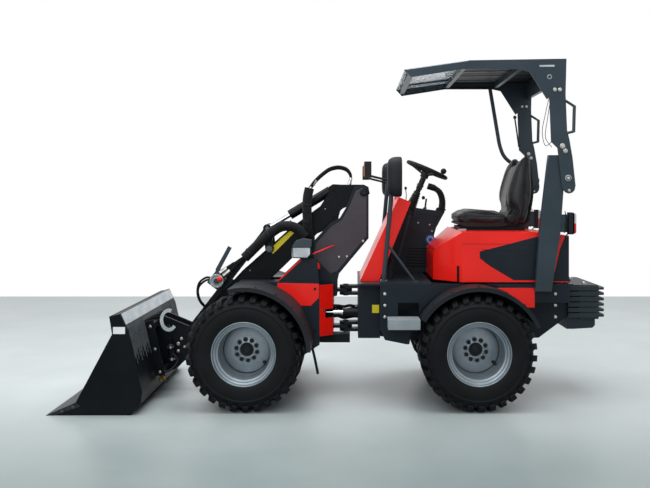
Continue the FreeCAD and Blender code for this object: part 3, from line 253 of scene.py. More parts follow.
CAST = paint("cast_iron_paint", (16, 19, 22), (26, 30, 34), (0.5, 0.7), 90.0, 0.0008, specular=0.2, dust=0.1)
SILVER = paint("rim_silver", (114, 125, 133), (146, 157, 165), (0.3, 0.44), 500.0, metallic=0.6, dust=0.06)
HUB_DARK = paint("hub_iron_and_gap_shade", (20, 24, 28), (34, 39, 44), (0.4, 0.6), 160.0, specular=0.2, dust=0.05)
RUBBER = rubber("tyre_rubber", (9, 12, 15), (18, 21, 24), (60, 58, 55), 0.07)
HOSE = rubber("hose_rubber", (14, 16, 18), (26, 28, 31), (80, 82, 84), 0.05)
SLEEVE = woven_sleeve("hose_sleeve")
VINYL = vinyl("seat_vinyl", (12, 16, 20), (22, 27, 32))
CLEAR = clear_panel("clear_panel")
CHROME = metal("rod_chrome", (188, 192, 196), (226, 229, 232), (0.06, 0.16))
ZINC = metal("zinc_plate", (150, 152, 150), (196, 197, 192), (0.25, 0.45), 0.0001)
PIN_STEEL = metal("pin_steel", (60, 64, 70), (92, 97, 104), (0.3, 0.45), 0.0001)
BRASS = metal("brass_fitting", (168, 134, 62), (214, 182, 98), (0.2, 0.38))
BLADE = metal("cutting_edge_steel", (34, 38, 42), (62, 66, 70), (0.35, 0.55), 0.0002)
MIRROR = metal("mirror_glass", (178, 186, 190), (206, 212, 216), (0.03, 0.09), 0.000005)
SOFT_BLACK = moulded("black_plastic", (15, 18, 21), (25, 29, 33))
FENDER = moulded("fender_plastic", (16, 21, 26), (24, 30, 36), pebble=500.0, depth=0.0003)
CONSOLE = moulded("console_plastic", (34, 42, 49), (42, 51, 59), (0.5, 0.66))
CONSOLE_TRIM = moulded("console_trim", (50, 60, 68), (60, 71, 79), (0.45, 0.6))
RED_LENS = moulded("red_lens", (180, 12, 16), (214, 22, 26), (0.12, 0.22), 260.0, specular=0.5)
AMBER_LENS = moulded("amber_lens", (196, 98, 16), (224, 128, 30), (0.12, 0.22), 260.0, specular=0.5)
CLEAR_LENS = moulded("clear_lens", (150, 158, 164), (196, 203, 208), (0.1, 0.2), 220.0, 0.0006, specular=0.6)
WHITE_FILM = moulded("white_film", (214, 218, 220), (232, 235, 236), (0.3, 0.42), depth=0.00003)
YELLOW_FILM = moulded("yellow_film", (222, 206, 38), (236, 222, 58), (0.3, 0.42), depth=0.00003)
BLUE_FILM = moulded("blue_film", (24, 92, 168), (40, 112, 190), (0.3, 0.42), depth=0.00003)
# Pale strip: on the bucket's back lip it is a painted reflection of the white surroundings on glossy black
# plate; the canopy's blank slots also use it.
STRIP = moulded("pale_strip", (150, 160, 166), (188, 196, 201), (0.35, 0.5), dust=0.03)
# Rib grey: the ribs on the bucket's back are real shapes, but their pale grey is a painted reflection on
# glossy black paint.
RIB = moulded("rib_bead", (84, 90, 96), (120, 127, 133), (0.4, 0.55), depth=0.00004)
# Loop: a glossy black hook coloured pale grey as a painted reflection of the white surroundings on its edges.
REFLECTING_HOOK = moulded("hook_painted_reflection", (158, 168, 170), (192, 200, 202), (0.5, 0.65), dust=0.05)

FINISHES = (
    (DARK, "rear_frame body_shell floor_plate front_frame boom_tower headlight_stands"),
    (SLATE, "mirror_posts lower_posts canopy_frame canopy_roof grab_handles multi_coupler"),
    (RED, "dash_cowl engine_hood"),
    (BLACK, "tilt_lever tilt_link tool_coupler"),
    (BLACK, "lift_cylinder_barrel tilt_cylinder_barrel steering_cylinder_barrel"),
    (BUCKET, "boom bucket"),
    (GREY, "side_steps"),
    (WEIGHT, "counterweight"),
    (CAST, "engine_block rear_axle front_axle"),
    (SOFT_BLACK, "steering_column steering_wheel driver_controls seat_base"),
    (SOFT_BLACK, "mirrors marker_lamps tail_lights headlights"),
    (FENDER, "rear_fenders front_fenders"),
    (CONSOLE, "side_console"),
    (VINYL, "seat_cushion seat_back"),
    (CLEAR, "canopy_window"),
    (SLEEVE, "boom_hoses"),
    (HOSE, "articulation_hoses"),
    (PIN_STEEL, "coupler_pin lever_pin link_pins"),
    (CHROME, "tilt_cylinder_piston lift_cylinder_rod tilt_cylinder_rod steering_cylinder_rod"),
    (RUBBER, "tyre_front_left tyre_front_right tyre_rear_left tyre_rear_right"),
    (SILVER, "rim_front_left rim_front_right rim_rear_left rim_rear_right"),
)
for finish, nodes in FINISHES:
    for node in nodes.split():
        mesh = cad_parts[node].data
        mesh.materials.clear()
        mesh.materials.append(finish)


# ---- mesh building ------------------------------------------------------------------------
AXIS_TO_MIDDLE = 60.0  # from the articulation's axis forward to the frame's origin


def at(x, y, z):
    """A place in millimetres as a point of the frame, in metres."""
    return Vector(((x - AXIS_TO_MIDDLE) / 1000, y / 1000, z / 1000))


def spline(points, steps=8):
    """A smooth path through points."""
    points = [Vector(p) for p in points]
    ends = [points[0] * 2 - points[1]] + points + [points[-1] * 2 - points[-2]]
    path = []
    for a, b, c, d in zip(ends, ends[1:], ends[2:], ends[3:]):
        for step in range(steps):
            t = step / steps
            path.append(
                b + (c - a) * (t / 2) + (a * 2 - b * 5 + c * 4 - d) * (t * t / 2)
                + (b * 3 - a - c * 3 + d) * (t ** 3 / 2)
            )
    return path + [points[-1]]


def rounded(outline, steps=4, share=0.28):
    """A side-view outline with its corners cut to short curves."""
    result = []
    for i, corner in enumerate(outline):
        corner = Vector(corner)
        before = corner + (Vector(outline[i - 1]) - corner) * share
        after = corner + (Vector(outline[(i + 1) % len(outline)]) - corner) * share
        for step in range(steps + 1):
            t = step / steps
            result.append(before * (1 - t) ** 2 + corner * 2 * t * (1 - t) + after * t * t)
    return [(p.x, p.y) for p in result]


def mirrored(outline):
    """An outline in plan, closed by its own mirror image across the machine's middle."""
    return outline + [(x, -y) for x, y in reversed(outline)]


def squared_ring(count, first_power, second_power):
    """The places of a circle pushed out towards a square, as shares from -1 to 1 both ways."""
    for step in range(count):
        angle = 2 * math.pi * step / count
        first, second = math.cos(angle), math.sin(angle)
        yield (math.copysign(abs(first) ** first_power, first),
               math.copysign(abs(second) ** second_power, second))


def sideways(places, side, y):
    """Side-view places (x, z) as points at a distance to one side."""
    return [(x, side * y, z) for x, z in places]


class Form:
    """The parts of one piece, in millimetres; place moves what is added after it is set."""

    def __init__(self):
        self.mesh = bmesh.new()
        self.place = Matrix.Identity(4)

    def loft(self, rings, finish=0, caps=True):
        """A skin over rings of points, one after another."""
        count = len(rings[0])
        verts = [self.mesh.verts.new(at(*(self.place @ Vector(p)))) for ring in rings for p in ring]
        faces = []
        for low in range(0, count * (len(rings) - 1), count):
            for i in range(count):
                j = (i + 1) % count
                faces.append((low + i, low + j, low + count + j, low + count + i))
        if caps:
            faces += [range(count - 1, -1, -1), range(count * (len(rings) - 1), count * len(rings))]
        for face in faces:
            self.mesh.faces.new([verts[i] for i in face]).material_index = finish

    def prism(self, outline, low, high, finish=0, along="y"):
        """An outline pushed out between two places along an axis."""
        order = {"x": (2, 0, 1), "y": (0, 2, 1), "z": (0, 1, 2)}[along]
        self.loft([[[(a, b, t)[i] for i in order] for a, b in outline] for t in (low, high)], finish)

    def box(self, x0, x1, y0, y1, z0, z1, finish=0):
        self.prism([(x0, z0), (x1, z0), (x1, z1), (x0, z1)], y0, y1, finish)

    def twice(self, outline, low, high, finish=0):
        """A prism across the machine and its mirror image."""
        self.prism(outline, low, high, finish)
        self.prism(outline, -high, -low, finish)

    def turned(self, profile, centre, axis, segments=32, finish=0, caps=True):
        """A profile of (radius, distance along the axis) turned about the axis."""
        axis = Vector(axis).normalized()
        side = axis.orthogonal().normalized()
        other = axis.cross(side)
        rings = []
        for radius, along in profile:
            ring = []
            for i in range(segments):
                turn = 2 * math.pi * i / segments
                spoke = side * math.cos(turn) + other * math.sin(turn)
                ring.append(Vector(centre) + axis * along + spoke * max(radius, 0.05))
            rings.append(ring)
        self.loft(rings, finish, caps)

    def tube(self, path, radius, sides=12, finish=0):
        """A round tube along a path; radius is a number or a function of the way along, 0 to 1."""
        path = [Vector(p) for p in path]
        side = None
        rings = []
        for i, p in enumerate(path):
            ahead = (path[min(i + 1, len(path) - 1)] - path[max(i - 1, 0)]).normalized()
            side = ahead.orthogonal() if side is None else side - ahead * side.dot(ahead)
            side.normalize()
            other = ahead.cross(side)
            size = radius(i / (len(path) - 1)) if callable(radius) else radius
            turns = [2 * math.pi * k / sides for k in range(sides)]
            rings.append([p + (side * math.cos(turn) + other * math.sin(turn)) * size for turn in turns])
        self.loft(rings, finish)

    def bolt(self, place, axis=ACROSS, size=11.0, finish=0):
        """A hexagon head with a chamfered top on a washer; size is the washer's radius."""
        self.turned([(size, 0), (size, size * 0.18), (size * 0.94, size * 0.24)], place, axis, 20, finish)
        head = [(size * 0.8, size * 0.2), (size * 0.8, size * 0.68), (size * 0.66, size * 0.8)]
        self.turned(head, place, axis, 6, finish)

    def bolts(self, places, side, y, size=11.0, finish=0):
        """Bolts that face one side at side-view places (x, z); a third number is a bolt's own size."""
        for x, z, *own in places:
            self.bolt((x, side * y, z), (0, side, 0), *(own or [size]), finish)

    def piece(self, name, body, finishes, bevel=0.0, sharp=38, hides=""):
        """The finished object, riding on a body and standing for the node that it hides."""
        bmesh.ops.recalc_face_normals(self.mesh, faces=self.mesh.faces)
        for face in self.mesh.faces:
            face.smooth = True
        data = bpy.data.meshes.new(name)
        self.mesh.to_mesh(data)
        self.mesh.free()
        for finish in finishes:
            data.materials.append(finish)
        data.set_sharp_from_angle(angle=math.radians(sharp))
        obj = bpy.data.objects.new(name, data)
        bpy.context.collection.objects.link(obj)
        if bevel:
            modifier = obj.modifiers.new("edges", "BEVEL")
            modifier.width = bevel / 1000
            modifier.segments = 2
            modifier.limit_method = "ANGLE"
            modifier.angle_limit = math.radians(34)
            modifier.harden_normals = True
        if body:
            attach(obj, body)
        if hides:
            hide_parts(hides)
        return obj


# ---- wheels -------------------------------------------------------------------------------
WHEEL_Y, WHEEL_Z = 503.0, 387.0
AXLE_X = {"front": 665.0, "rear": -880.0}
LUGS = 30
HUB_BOLTS = 10
# Profiles of (radius, distance outwards from the tyre's middle).
TYRE_SIDE = [
    (207, 182), (214, 187), (222, 190), (236, 194), (262, 196.5), (290, 195.5), (303, 193), (306, 195.5),
    (314, 195.5), (317, 192), (334, 186), (348, 176), (358, 160), (364, 130), (367, 80), (368, 0),
]
SHOULDER_LUG = [
    (350, 92), (380, 94), (387, 100), (387, 150), (382, 168), (371, 183), (356, 192), (344, 193), (336, 184),
    (346, 150),
]
CENTRE_LUG = [(350, 8), (381, 8), (386, 14), (386, 74), (382, 80), (350, 82)]
RIM_SIDE = [
    (203, 168), (209, 170), (214, 174), (217, 180), (214, 186), (208, 187), (204, 183), (203, 175),
    (201, 168), (193, 166), (189, 163), (188, 156), (186, 152), (178, 150), (174, 147), (173, 138),
    (172, 88), (169, 80), (163, 74), (161, 66), (160, 4), (160, -12), (160, -40), (168, -90), (186, -130),
    (198, -166), (208, -186), (214, -184), (210, -170), (203, -168),
]
HUB_DISC = [(156, -2), (150, 0), (132, 1), (108, 5), (98, 6), (60, 6), (57, 8), (48, 8), (46, 5), (46, -14)]
HUB_CAP = [(46.5, -12), (30, -12), (30, 2), (27, 5), (0, 5)]
HUB_RING = [(20, 5), (20, 10), (16, 12), (16, 7), (0, 7)]
# Painted shade: a dark disc behind the hub disc shows through the gap at the barrel as a dark crescent of
# shadow.
HUB_GAP_SHADE = [(160, -10), (30, -10)]


def wheel_form(end, side):
    """A form whose origin is a wheel's middle, with +Y pointing outwards."""
    form = Form()
    turned = Matrix.Rotation(0 if side > 0 else math.pi, 4, "Z")
    form.place = Matrix.Translation(Vector((AXLE_X[end], WHEEL_Y * side, WHEEL_Z))) @ turned
    return form


def lug(form, outline, start, width, skew, side):
    """One tread block: an outline of (radius, offset from the tyre's middle) swept over an angle."""
    rings = []
    for step in range(3):
        ring = []
        for radius, offset in outline:
            turn = start + width * step / 2 + skew * offset / 100
            ring.append((radius * math.cos(turn), side * offset, radius * math.sin(turn)))
        rings.append(ring)
    form.loft(rings)


def tyre(end, side, side_name):
    form = wheel_form(end, side)
    profile = TYRE_SIDE + [(radius, -offset) for radius, offset in reversed(TYRE_SIDE[:-1])]
    form.turned(profile, (0, 0, 0), ACROSS, 96, caps=False)
    pitch = 2 * math.pi / LUGS
    for number in range(LUGS):
        for half, shift in ((1, pitch * 0.5), (-1, 0.0)):
            start = number * pitch + shift
            lug(form, SHOULDER_LUG, start, pitch * 0.52, -0.05, half)
            lug(form, CENTRE_LUG, start + pitch * 0.3, pitch * 0.5, -0.13, half)
    wheel = f"{end}_{side_name}"
    form.piece(f"tread_{wheel}", f"wheel_{wheel}", [RUBBER], bevel=2.5, hides=f"tyre_{wheel}")


def rim(end, side, side_name):
    """A stepped rim with its hub, hub bolts and valve, and a dark disc of painted shade behind the gap at the
    hub disc's edge.
    """
    form = wheel_form(end, side)
    for profile, segments, finish in (
        (RIM_SIDE, 96, 0), (HUB_DISC, 96, 0), (HUB_CAP, 40, 1), (HUB_RING, 24, 1), (HUB_GAP_SHADE, 64, 1),
    ):
        form.turned(profile, (0, 0, 0), ACROSS, segments, finish, caps=False)
    for number in range(HUB_BOLTS):
        turn = 2 * math.pi * (number + 0.3) / HUB_BOLTS
        place = (70 * math.cos(turn), 5.0, 70 * math.sin(turn))
        form.turned([(17, 0), (17, 2.5), (15.5, 4)], place, ACROSS, 20, 0)
        form.turned([(14.5, 3), (14.5, 15), (12, 18)], place, ACROSS, 6, 1)
        form.turned([(6.5, 17), (6.5, 22), (5, 23.5)], place, ACROSS, 12, 1)
    foot, tip, way = (-118, 2, -84), (-127, 44, -91), (-0.2, 1, -0.15)
    form.tube([foot, (-122, 22, -87), tip], 5.5, 10, 1)
    form.turned([(8, 0), (8, 14), (6, 16)], tip, way, 12, 1)
    form.turned([(12, -4), (12, 3), (8, 7)], foot, way, 14, 1)
    wheel = f"{end}_{side_name}"
    form.piece(f"rim_{wheel}_detail", f"wheel_{wheel}", [SILVER, HUB_DARK], hides=f"rim_{wheel}")


# ---- hood, body and counterweight ---------------------------------------------------------
HOOD_SIDE = 460.0
BODY_SIDE = 480.0


def nose_side(x, out):
    """The hood's side where it narrows towards the driver's feet, moved out a little."""
    return 250 + 210 * ((x + 617) / -178) + out


def hood_trim():
    """Bare dark panels, seams, the rear latch and small labels with nothing on them."""
    form = Form()
    swoosh = [
        (-916, 1046), (-1197, 1119), (-1312, 1149), (-1292, 850), (-1148, 850), (-988, 945), (-916, 1000),
    ]
    rear_panel = [(-1497, 1150), (-1524, 1146), (-1524, 842), (-1410, 842), (-1432, 925), (-1462, 1062)]
    for panel in (swoosh, rear_panel):
        form.twice(panel, HOOD_SIDE - 0.4, HOOD_SIDE + 0.9, 0)
    form.twice([(-930, 1060), (-1240, 1060), (-1240, 1057), (-930, 1057)], HOOD_SIDE, HOOD_SIDE + 1.4, 1)
    form.twice([(-800, 1176), (-860, 1176), (-860, 1190), (-800, 1190)], 192, 198, 2)
    for side in (1, -1):
        for x0, x1, top, finish, deep in ((-684, -752, 892, 3, 0.6), (-764, -778, 946, 1, 4)):
            plan = [(x, side * nose_side(x, out)) for x, out in ((x0, -1), (x1, -1), (x1, deep), (x0, deep))]
            form.prism(plan, 838, top, finish, along="z")
        form.box(-1300, -795, side * (HOOD_SIDE - 3), side * (HOOD_SIDE + 1.2), 1096, 1098, 1)
    form.piece("hood_trim", "hood", [DARK, BLACK, ZINC, YELLOW_FILM], bevel=0.4)


FENDER_RADIUS = 439
FENDER_BOLT_Y = 664


def fender_bolt(form, end, side, degrees):
    """A bolt on a fender's curved top, at an angle about the axle."""
    turn = math.radians(degrees)
    out = (math.cos(turn), 0, math.sin(turn))
    place = (AXLE_X[end] + FENDER_RADIUS * out[0], side * FENDER_BOLT_Y, WHEEL_Z + FENDER_RADIUS * out[2])
    form.bolt(place, out, 9, 4)


def body_trim():
    """The red band over the rear fender, plate bolts, step treads and fender fixings."""
    form = Form()
    band = [
        (-802, 800), (-1286, 800), (-1286, 666), (-1220, 666), (-1165, 718), (-1102, 760), (-1000, 786),
        (-802, 786),
    ]
    form.twice(band, BODY_SIDE - 0.5, BODY_SIDE + 1, 0)
    for z in (759, 681, 603):
        for x in (-268, -1427):
            for side in (1, -1):
                form.bolts([(x, z)], side, BODY_SIDE, 10.5, 1)
    for side in (1, -1):
        form.box(-233, -185, side * 349.6, side * 350.9, 612, 668, 2)
        for number in range(12):
            x = -300 - number * 16.5
            form.box(x - 4, x + 4, side * 496, side * 626, 605.5, 609, 3)
        for degrees in (47, 66, 90, 114, 133):
            fender_bolt(form, "rear", side, degrees)
    form.piece("body_trim", "rear_module", [RED, ZINC, YELLOW_FILM, GREY, SOFT_BLACK], bevel=0.5)


def counterweight():
    """Stacked plates with cut corners and comb-like rear edges, on their foot."""
    form = Form()
    rear, front, top, pitch = -1779.0, -1560.4, 799, 38.0
    plate = mirrored([(front, -272), (front, -296), (front - 20, -300), (rear + 24, -300), (rear, -286)])
    fin = mirrored([(rear + 4, -292), (-1815, -284), (-1822, -262)])
    for level in range(6):
        low = 572 + level * pitch
        form.prism(plate, low, low + 29, 0, along="z")
        form.prism(fin, low + 4, low + 20, 0, along="z")
    form.box(-1640, rear + 2, -288, 288, 560, 796)
    form.box(front, -1644, -262, 262, 560, 792)
    cover = mirrored([(front, -266), (-1600, -284), (rear + 20, -284), (rear + 4, -270)])
    form.prism(cover, 792, top + 0.5, 0, along="z")
    foot = [(front, 486), (-1610, 486), (-1742, 494), (-1760, 512), (-1760, 566), (front, 566)]
    form.prism(foot, -258, 258, 0)
    for side in (1, -1):
        form.turned([(13, 0), (13, 9), (10, 12)], (-1700, side * 180, top), UP, 6, 1)
        form.turned([(20, 0), (20, 2)], (-1700, side * 180, top), UP, 24, 1)
    form.tube(spline([(-1640, -34, top), (-1640, -34, 822), (-1640, 34, 822), (-1640, 34, top)], 5), 6, 10, 1)
    form.piece("counterweight_plates", "rear_module", [WEIGHT, ZINC], bevel=2.5, hides="counterweight")


def tail_lamps():
    """Two-part lenses in their housings, with the leads behind them."""
    form = Form()
    shell = [(-1501.5, 1166), (-1501.5, 1314), (-1530, 1314), (-1540, 1304), (-1540, 1176), (-1530, 1166)]
    upper_lens = [(-1528, 1244), (-1528, 1309), (-1543, 1309), (-1551, 1298), (-1551, 1244)]
    lower_lens = [(-1528, 1171), (-1528, 1242), (-1551, 1242), (-1551, 1182), (-1543, 1171)]
    for side in (1, -1):
        y0, y1 = side * 492.6, side * 547.6
        form.prism(shell, y0, y1, 0)
        form.prism(upper_lens, y0 - side, y1, 1)
        form.prism(lower_lens, y0 - side, y1, 2)
        for z in (1186, 1200, 1214, 1228):
            form.box(-1552, -1546, side * 500, side * 541, z, z + 3, 2)
        lead = [
            (-1490, side * 512, 1296), (-1497, side * 528, 1240), (-1488, side * 534, 1196),
            (-1500, side * 524, 1172), (-1478, side * 530, 1150),
        ]
        form.tube(spline(lead), 4.5, 8, 3)
        form.tube(spline([(x + 8, y + side * 4, z + 26) for x, y, z in lead]), 3.5, 8, 3)
    finishes = [SOFT_BLACK, CLEAR_LENS, RED_LENS, HOSE]
    form.piece("tail_lamp_units", "rear_module", finishes, bevel=1.5, hides="tail_lights")


# ---- driver's place -----------------------------------------------------------------------
def console_trim():
    """The console's panels, louvres and blank labels, and the dark panel between it and the cowl."""
    form = Form()
    face = -345.0

    def panel(outline, thick, finish):
        form.prism(outline, face - 1, face + thick, finish)

    form.prism([(-455, 1370), (-497, 1330), (-397, 955), (-411, 832), (-240, 832)], -398, -352, 0)
    panel([(-499, 1326), (-520, 1326), (-419, 952), (-398, 952)], 1.2, 1)
    panel([(-520, 1292), (-742, 1262), (-742, 1259), (-520, 1289)], 1.0, 2)
    panel([(-700, 1262), (-703, 1262), (-681, 1120), (-678, 1120)], 1.0, 2)
    for number in range(7):
        x, z = -482 + number * 5, 1022 - number * 23
        panel([(x, z), (x - 172, z - 4), (x - 172, z - 12), (x, z - 8)], 4, 2)
        panel([(x + 2, z + 3), (x - 174, z - 1), (x - 174, z - 4), (x + 2, z)], 6, 0)
    label = (-655, face, 1084)
    form.turned([(37, -1), (37, 0.9), (35, 1.2)], label, ACROSS, 40, 3)
    form.turned([(24, 0), (24, 1.4)], label, ACROSS, 32, 4)
    form.turned([(19, 0), (19, 1.6)], label, ACROSS, 32, 3)
    panel([(-630, 1034), (-690, 1034), (-690, 958), (-630, 958)], 1.2, 4)
    form.bolts([(-650, 1200), (-560, 1215), (-668, 1150)], 1, face, 6, 5)
    finishes = [CONSOLE, CONSOLE_TRIM, BLACK, BLUE_FILM, WHITE_FILM, ZINC]
    form.piece("console_trim", "rear_module", finishes, bevel=0.6)


STICK_Y = -401.5


def boots():
    """Ribbed boots on the steering column and the joystick, their clamps and the small levers."""
    form = Form()
    tilt = math.radians(23.6)
    axis = Vector((-math.sin(tilt), 0, math.cos(tilt)))
    head = Vector((-598, 0, 1615)) - axis * 62
    profile = [(50, -30), (50, -8), (46, -2)]
    for rib in range(9):
        size, start = 44 - rib * 1.6, rib * 14
        profile += [(size - 8, start), (size - 2, start + 2), (size, start + 6), (size - 2, start + 10)]
    profile += [(24, 130), (26, 134), (26, 144), (19, 148), (19, 186), (25, 188), (25, 204)]
    profile += [(21, 208), (21, 258)]
    form.turned(profile, head - axis * 260, axis, 36, 0)
    form.box(-560, -520, -26, 26, 1468, 1496, 0)
    form.tube([head - axis * 66 + Vector((0, y, 0)) for y in (-16, -60)], 6, 10, 0)
    form.turned([(9, 0), (10, 10), (7, 16)], head - axis * 66 + Vector((0, -58, 0)), (0, -1, 0), 14, 0)
    bellows = [(-752, 1306), (-757, 1352), (-754, 1402), (-734, 1452), (-692, 1484), (-640, 1502)]
    path = spline(sideways(bellows, 1, STICK_Y), 14)
    form.tube(path, lambda t: (24.5 if int(t * 56) % 2 else 20.6) if t < 0.8 else 25.5, 20, 0)
    lean = Vector((0.13, 0, 0.99))
    for level, size in ((0, 44), (10, 38), (20, 32)):
        ring = [(size - 4, -2), (size, 1), (size, 6), (size - 5, 9)]
        form.turned(ring, (-740 + level * 0.1, STICK_Y, 1306 + level), lean, 32, 0)
    form.tube([(-452, -150, 1392), (-456, -150, 1430), (-450, -150, 1474)], 4.5, 10, 1)
    form.turned([(6, 0), (10, 6), (10, 16), (5, 22)], (-450, -150, 1472), UP, 16, 0)
    form.turned([(17, 0), (14, 10), (6, 14)], (-618, STICK_Y, 1322), lean, 24, 0)
    form.turned([(8, 0), (13, 8), (13, 20), (7, 27)], (-607, STICK_Y, 1396), lean, 20, 0)
    form.piece("control_boots", "rear_module", [SOFT_BLACK, ZINC], sharp=50, hides="steering_column")


# Places along the machine of a mirror's rings, each with its share of the full outline.
MIRROR_SHELL = (
    (-378, 0.88), (-380, 0.92), (-378, 0.965), (-370, 1), (-346, 1), (-324, 0.98), (-306, 0.93), (-294, 0.85),
    (-287, 0.73), (-284.3, 0.55),
)
MIRROR_GLASS = ((-377.5, 0.87), (-379, 0.87), (-379.4, 0.86))


def mirror_housings():
    """Rounded mirror housings with a rim round the glass."""
    form = Form()
    for side in (1, -1):
        for finish, rings in enumerate((MIRROR_SHELL, MIRROR_GLASS)):
            form.loft([[(x, side * (508 + 91.5 * share * across), 1553.5 + 136 * share * up)
                        for across, up in squared_ring(40, 0.6, 0.6)] for x, share in rings], finish)
    form.piece("mirror_housings", "rear_module", [SOFT_BLACK, MIRROR], sharp=30, hides="mirrors")


def mirror_and_lamp_trim():
    """The marker lamps' lenses, the knuckles behind the mirrors and the posts' foot bolts."""
    form = Form()
    for side in (1, -1):
        lens = [(side * 388, 1558), (side * 388, 1652), (side * 452, 1652), (side * 452, 1558)]
        form.prism(lens, -131, -126.5, 1, along="x")
        form.box(-131, -127.6, side * 380, side * 460, 1550, 1556, 0)
        form.turned([(19, -9), (21, 0), (19, 9)], (-328, side * 400, 1545), (-0.09, 0, 0.99), 20, 0)
        form.turned([(20, -8), (20, 8)], (-328, side * 424, 1553), ACROSS, 18, 0)
        for x in (-282, -246):
            form.bolt((x, side * 378, 841), UP, 7, 2)
    form.piece("mirror_and_lamp_trim", "rear_module", [SOFT_BLACK, AMBER_LENS, ZINC], bevel=0.8)


# ---- front module -------------------------------------------------------------------------
FRONT_SIDE = 270.0
TOWER_SIDE = 90.0


def wall(form, start, end, low, high, deep):
    """A thin upright panel along a line in plan, standing proud of it by deep."""
    run = Vector((end[0] - start[0], end[1] - start[1]))
    out = Vector((-run.y, run.x)).normalized() * deep
    plan = [start, end, (end[0] + out.x, end[1] + out.y), (start[0] + out.x, start[1] + out.y)]
    form.prism(plan, low, high, 0, along="z")


def front_trim():
    """The frame's red panels, the tower's sides, pin caps, bolts and a red cap with its hose."""
    form = Form()
    panels = (((90, 190), 622, 795), ((90, 190), 434, 558), ((144, 236.5), 558, 622))
    decal = [
        (478, 811), (187, 806), (187, 708), (244, 651), (335, 651), (352, 612), (400, 648), (447, 700),
        (492, 745),
    ]
    edge = [(470, 822), (320, 961), (312, 975), (318, 980), (329, 967), (478, 826)]
    tower = [
        (-150, 1436), (-150, 1132), (62, 878), (112, 862), (236, 985), (214, 1080), (100, 1206), (30, 1247),
        (-18, 1330), (-74, 1462), (-124, 1484),
    ]
    pin_cap = [(30, 0), (30, 7), (27, 9), (14, 9), (14, 5), (0, 5)]
    for side in (1, -1):
        for start, low, high in panels:
            ends = [(x, side * y) for x, y in (start, (183, 270))]
            wall(form, *ends[::side], low, high, 1.2)
        form.prism(decal, side * (FRONT_SIDE - 0.5), side * (FRONT_SIDE + 1), 0)
        form.prism(edge, side * 229, side * 243.2, 0)
        form.turned([(9, 0), (9, 3)], (158, side * 249.5, 618), (-0.65, side * 0.76, 0), 20, 2)
        form.prism(tower, side * (TOWER_SIDE - 0.5), side * (TOWER_SIDE + 0.9), 1)
        form.bolts([(-125, 1097), (49, 981), (-8, 985)], side, TOWER_SIDE + 0.6, 8, 2)
        form.bolts([(150, 700), (240, 700), (240, 500)], side, TOWER_SIDE + 0.6, 10, 2)
        for x, z in ((-131, 1452), (175, 560)):
            form.turned(pin_cap, (x, side * (TOWER_SIDE + 0.2), z), (0, side, 0), 32, 3)
        form.bolts([(216, 480), (216, 770), (700, 600), (560, 780)], side, FRONT_SIDE, 9, 3)
    form.turned([(22, 0), (22, 26), (18, 30), (18, 40), (12, 44)], (206, 205, 905), UP, 24, 0)
    form.turned([(13, -70), (13, 2)], (206, 205, 905), UP, 16, 3)
    form.tube([(236, 205, 1010), (130, 160, 1052), (86, 110, 1066)], 5, 8, 0)
    for degrees in (100, 118, 136, 154):
        for side in (1, -1):
            fender_bolt(form, "front", side, degrees)
    form.piece("front_trim", "front_module", [RED, PANEL, ZINC, BLACK, SOFT_BLACK], bevel=0.7)


def headlamps():
    """Square work lamps: a hood over ribbed glass in a housing."""
    form = Form()
    shell = [(242, 1012), (264, 984), (370, 988), (376, 1062), (350, 1106), (300, 1122), (242, 1110)]
    glass = [(250, 1014), (270, 992), (366, 994), (370, 1060), (250, 1060)]
    for side in (1, -1):
        low, high = sorted((side * 186.0, side * 293.0))
        form.prism(shell, low + 3, high - 3, 0)
        form.prism([(240, 1066), (378, 1066), (352, 1108), (300, 1124), (240, 1113)], low, high, 1)
        face = side * 291.0
        form.prism(glass, face, face + side * 2.6, 2)
        for number in range(9):
            x = 262 + number * 11.5
            form.box(x, x + 3.5, face, face + side * 3.6, 1000, 1056, 2)
        form.box(249, 371, face, face + side * 4.4, 1060, 1066, 1)
        form.box(371, 377.5, side * 196, side * 284, 994, 1058, 2)
    finishes = [SOFT_BLACK, CONSOLE_TRIM, CLEAR_LENS]
    form.piece("headlamp_units", "front_module", finishes, bevel=1.5, hides="headlights")


# Where each hose of the joint's bundle runs: its place across, its height and its radius.
JOINT_HOSES = (
    (-42, 537, 12), (10, 541, 13), (35, 545, 11), (-20, 592, 13), (12, 614, 12), (26, 585, 10), (0, 567, 12),
)


def joint_hoses():
    """The hose bundle over the articulation."""
    form = Form()
    for number, (y, z, size) in enumerate(JOINT_HOSES):
        sag = -12 if number % 2 else 9
        path = [
            (-86.5, y, z), (-60, y, z), (-26, y + sag, z + sag * 0.6), (14, y - sag * 0.7, z - 7 + sag * 0.3),
            (56, y - 4, z + 2), (89.5, y - 4, z + 2),
        ]
        form.tube(spline(path, 6), size * 0.93, 12, 0)
        for place in ((-84, y, z), (70, y - 4, z + 2)):
            form.turned([(size, 0), (size, 15), (size - 1.5, 17)], place, AHEAD, 6, 1)
    bundle = form.piece("joint_hose_bundle", None, [HOSE, PIN_STEEL], sharp=45, hides="articulation_hoses")
    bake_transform(bundle)


# ---- boom, coupling block and bucket ------------------------------------------------------
LEVER_PIN = Vector((555, 1040))
COUPLER_PIN = Vector((1125, 300))
BOOM_SIDE = 60.0
CHEEK_SIDE = 93.0
BUCKET_SIDE = 730.0
BUCKET_INSIDE = 717.0


def boom_line(distance, offset):
    """A side-view place by its distance along the lower boom and its offset above it."""
    way = (COUPLER_PIN - LEVER_PIN).normalized()
    place = LEVER_PIN + way * distance + Vector((-way.y, way.x)) * offset
    return place.x, place.y


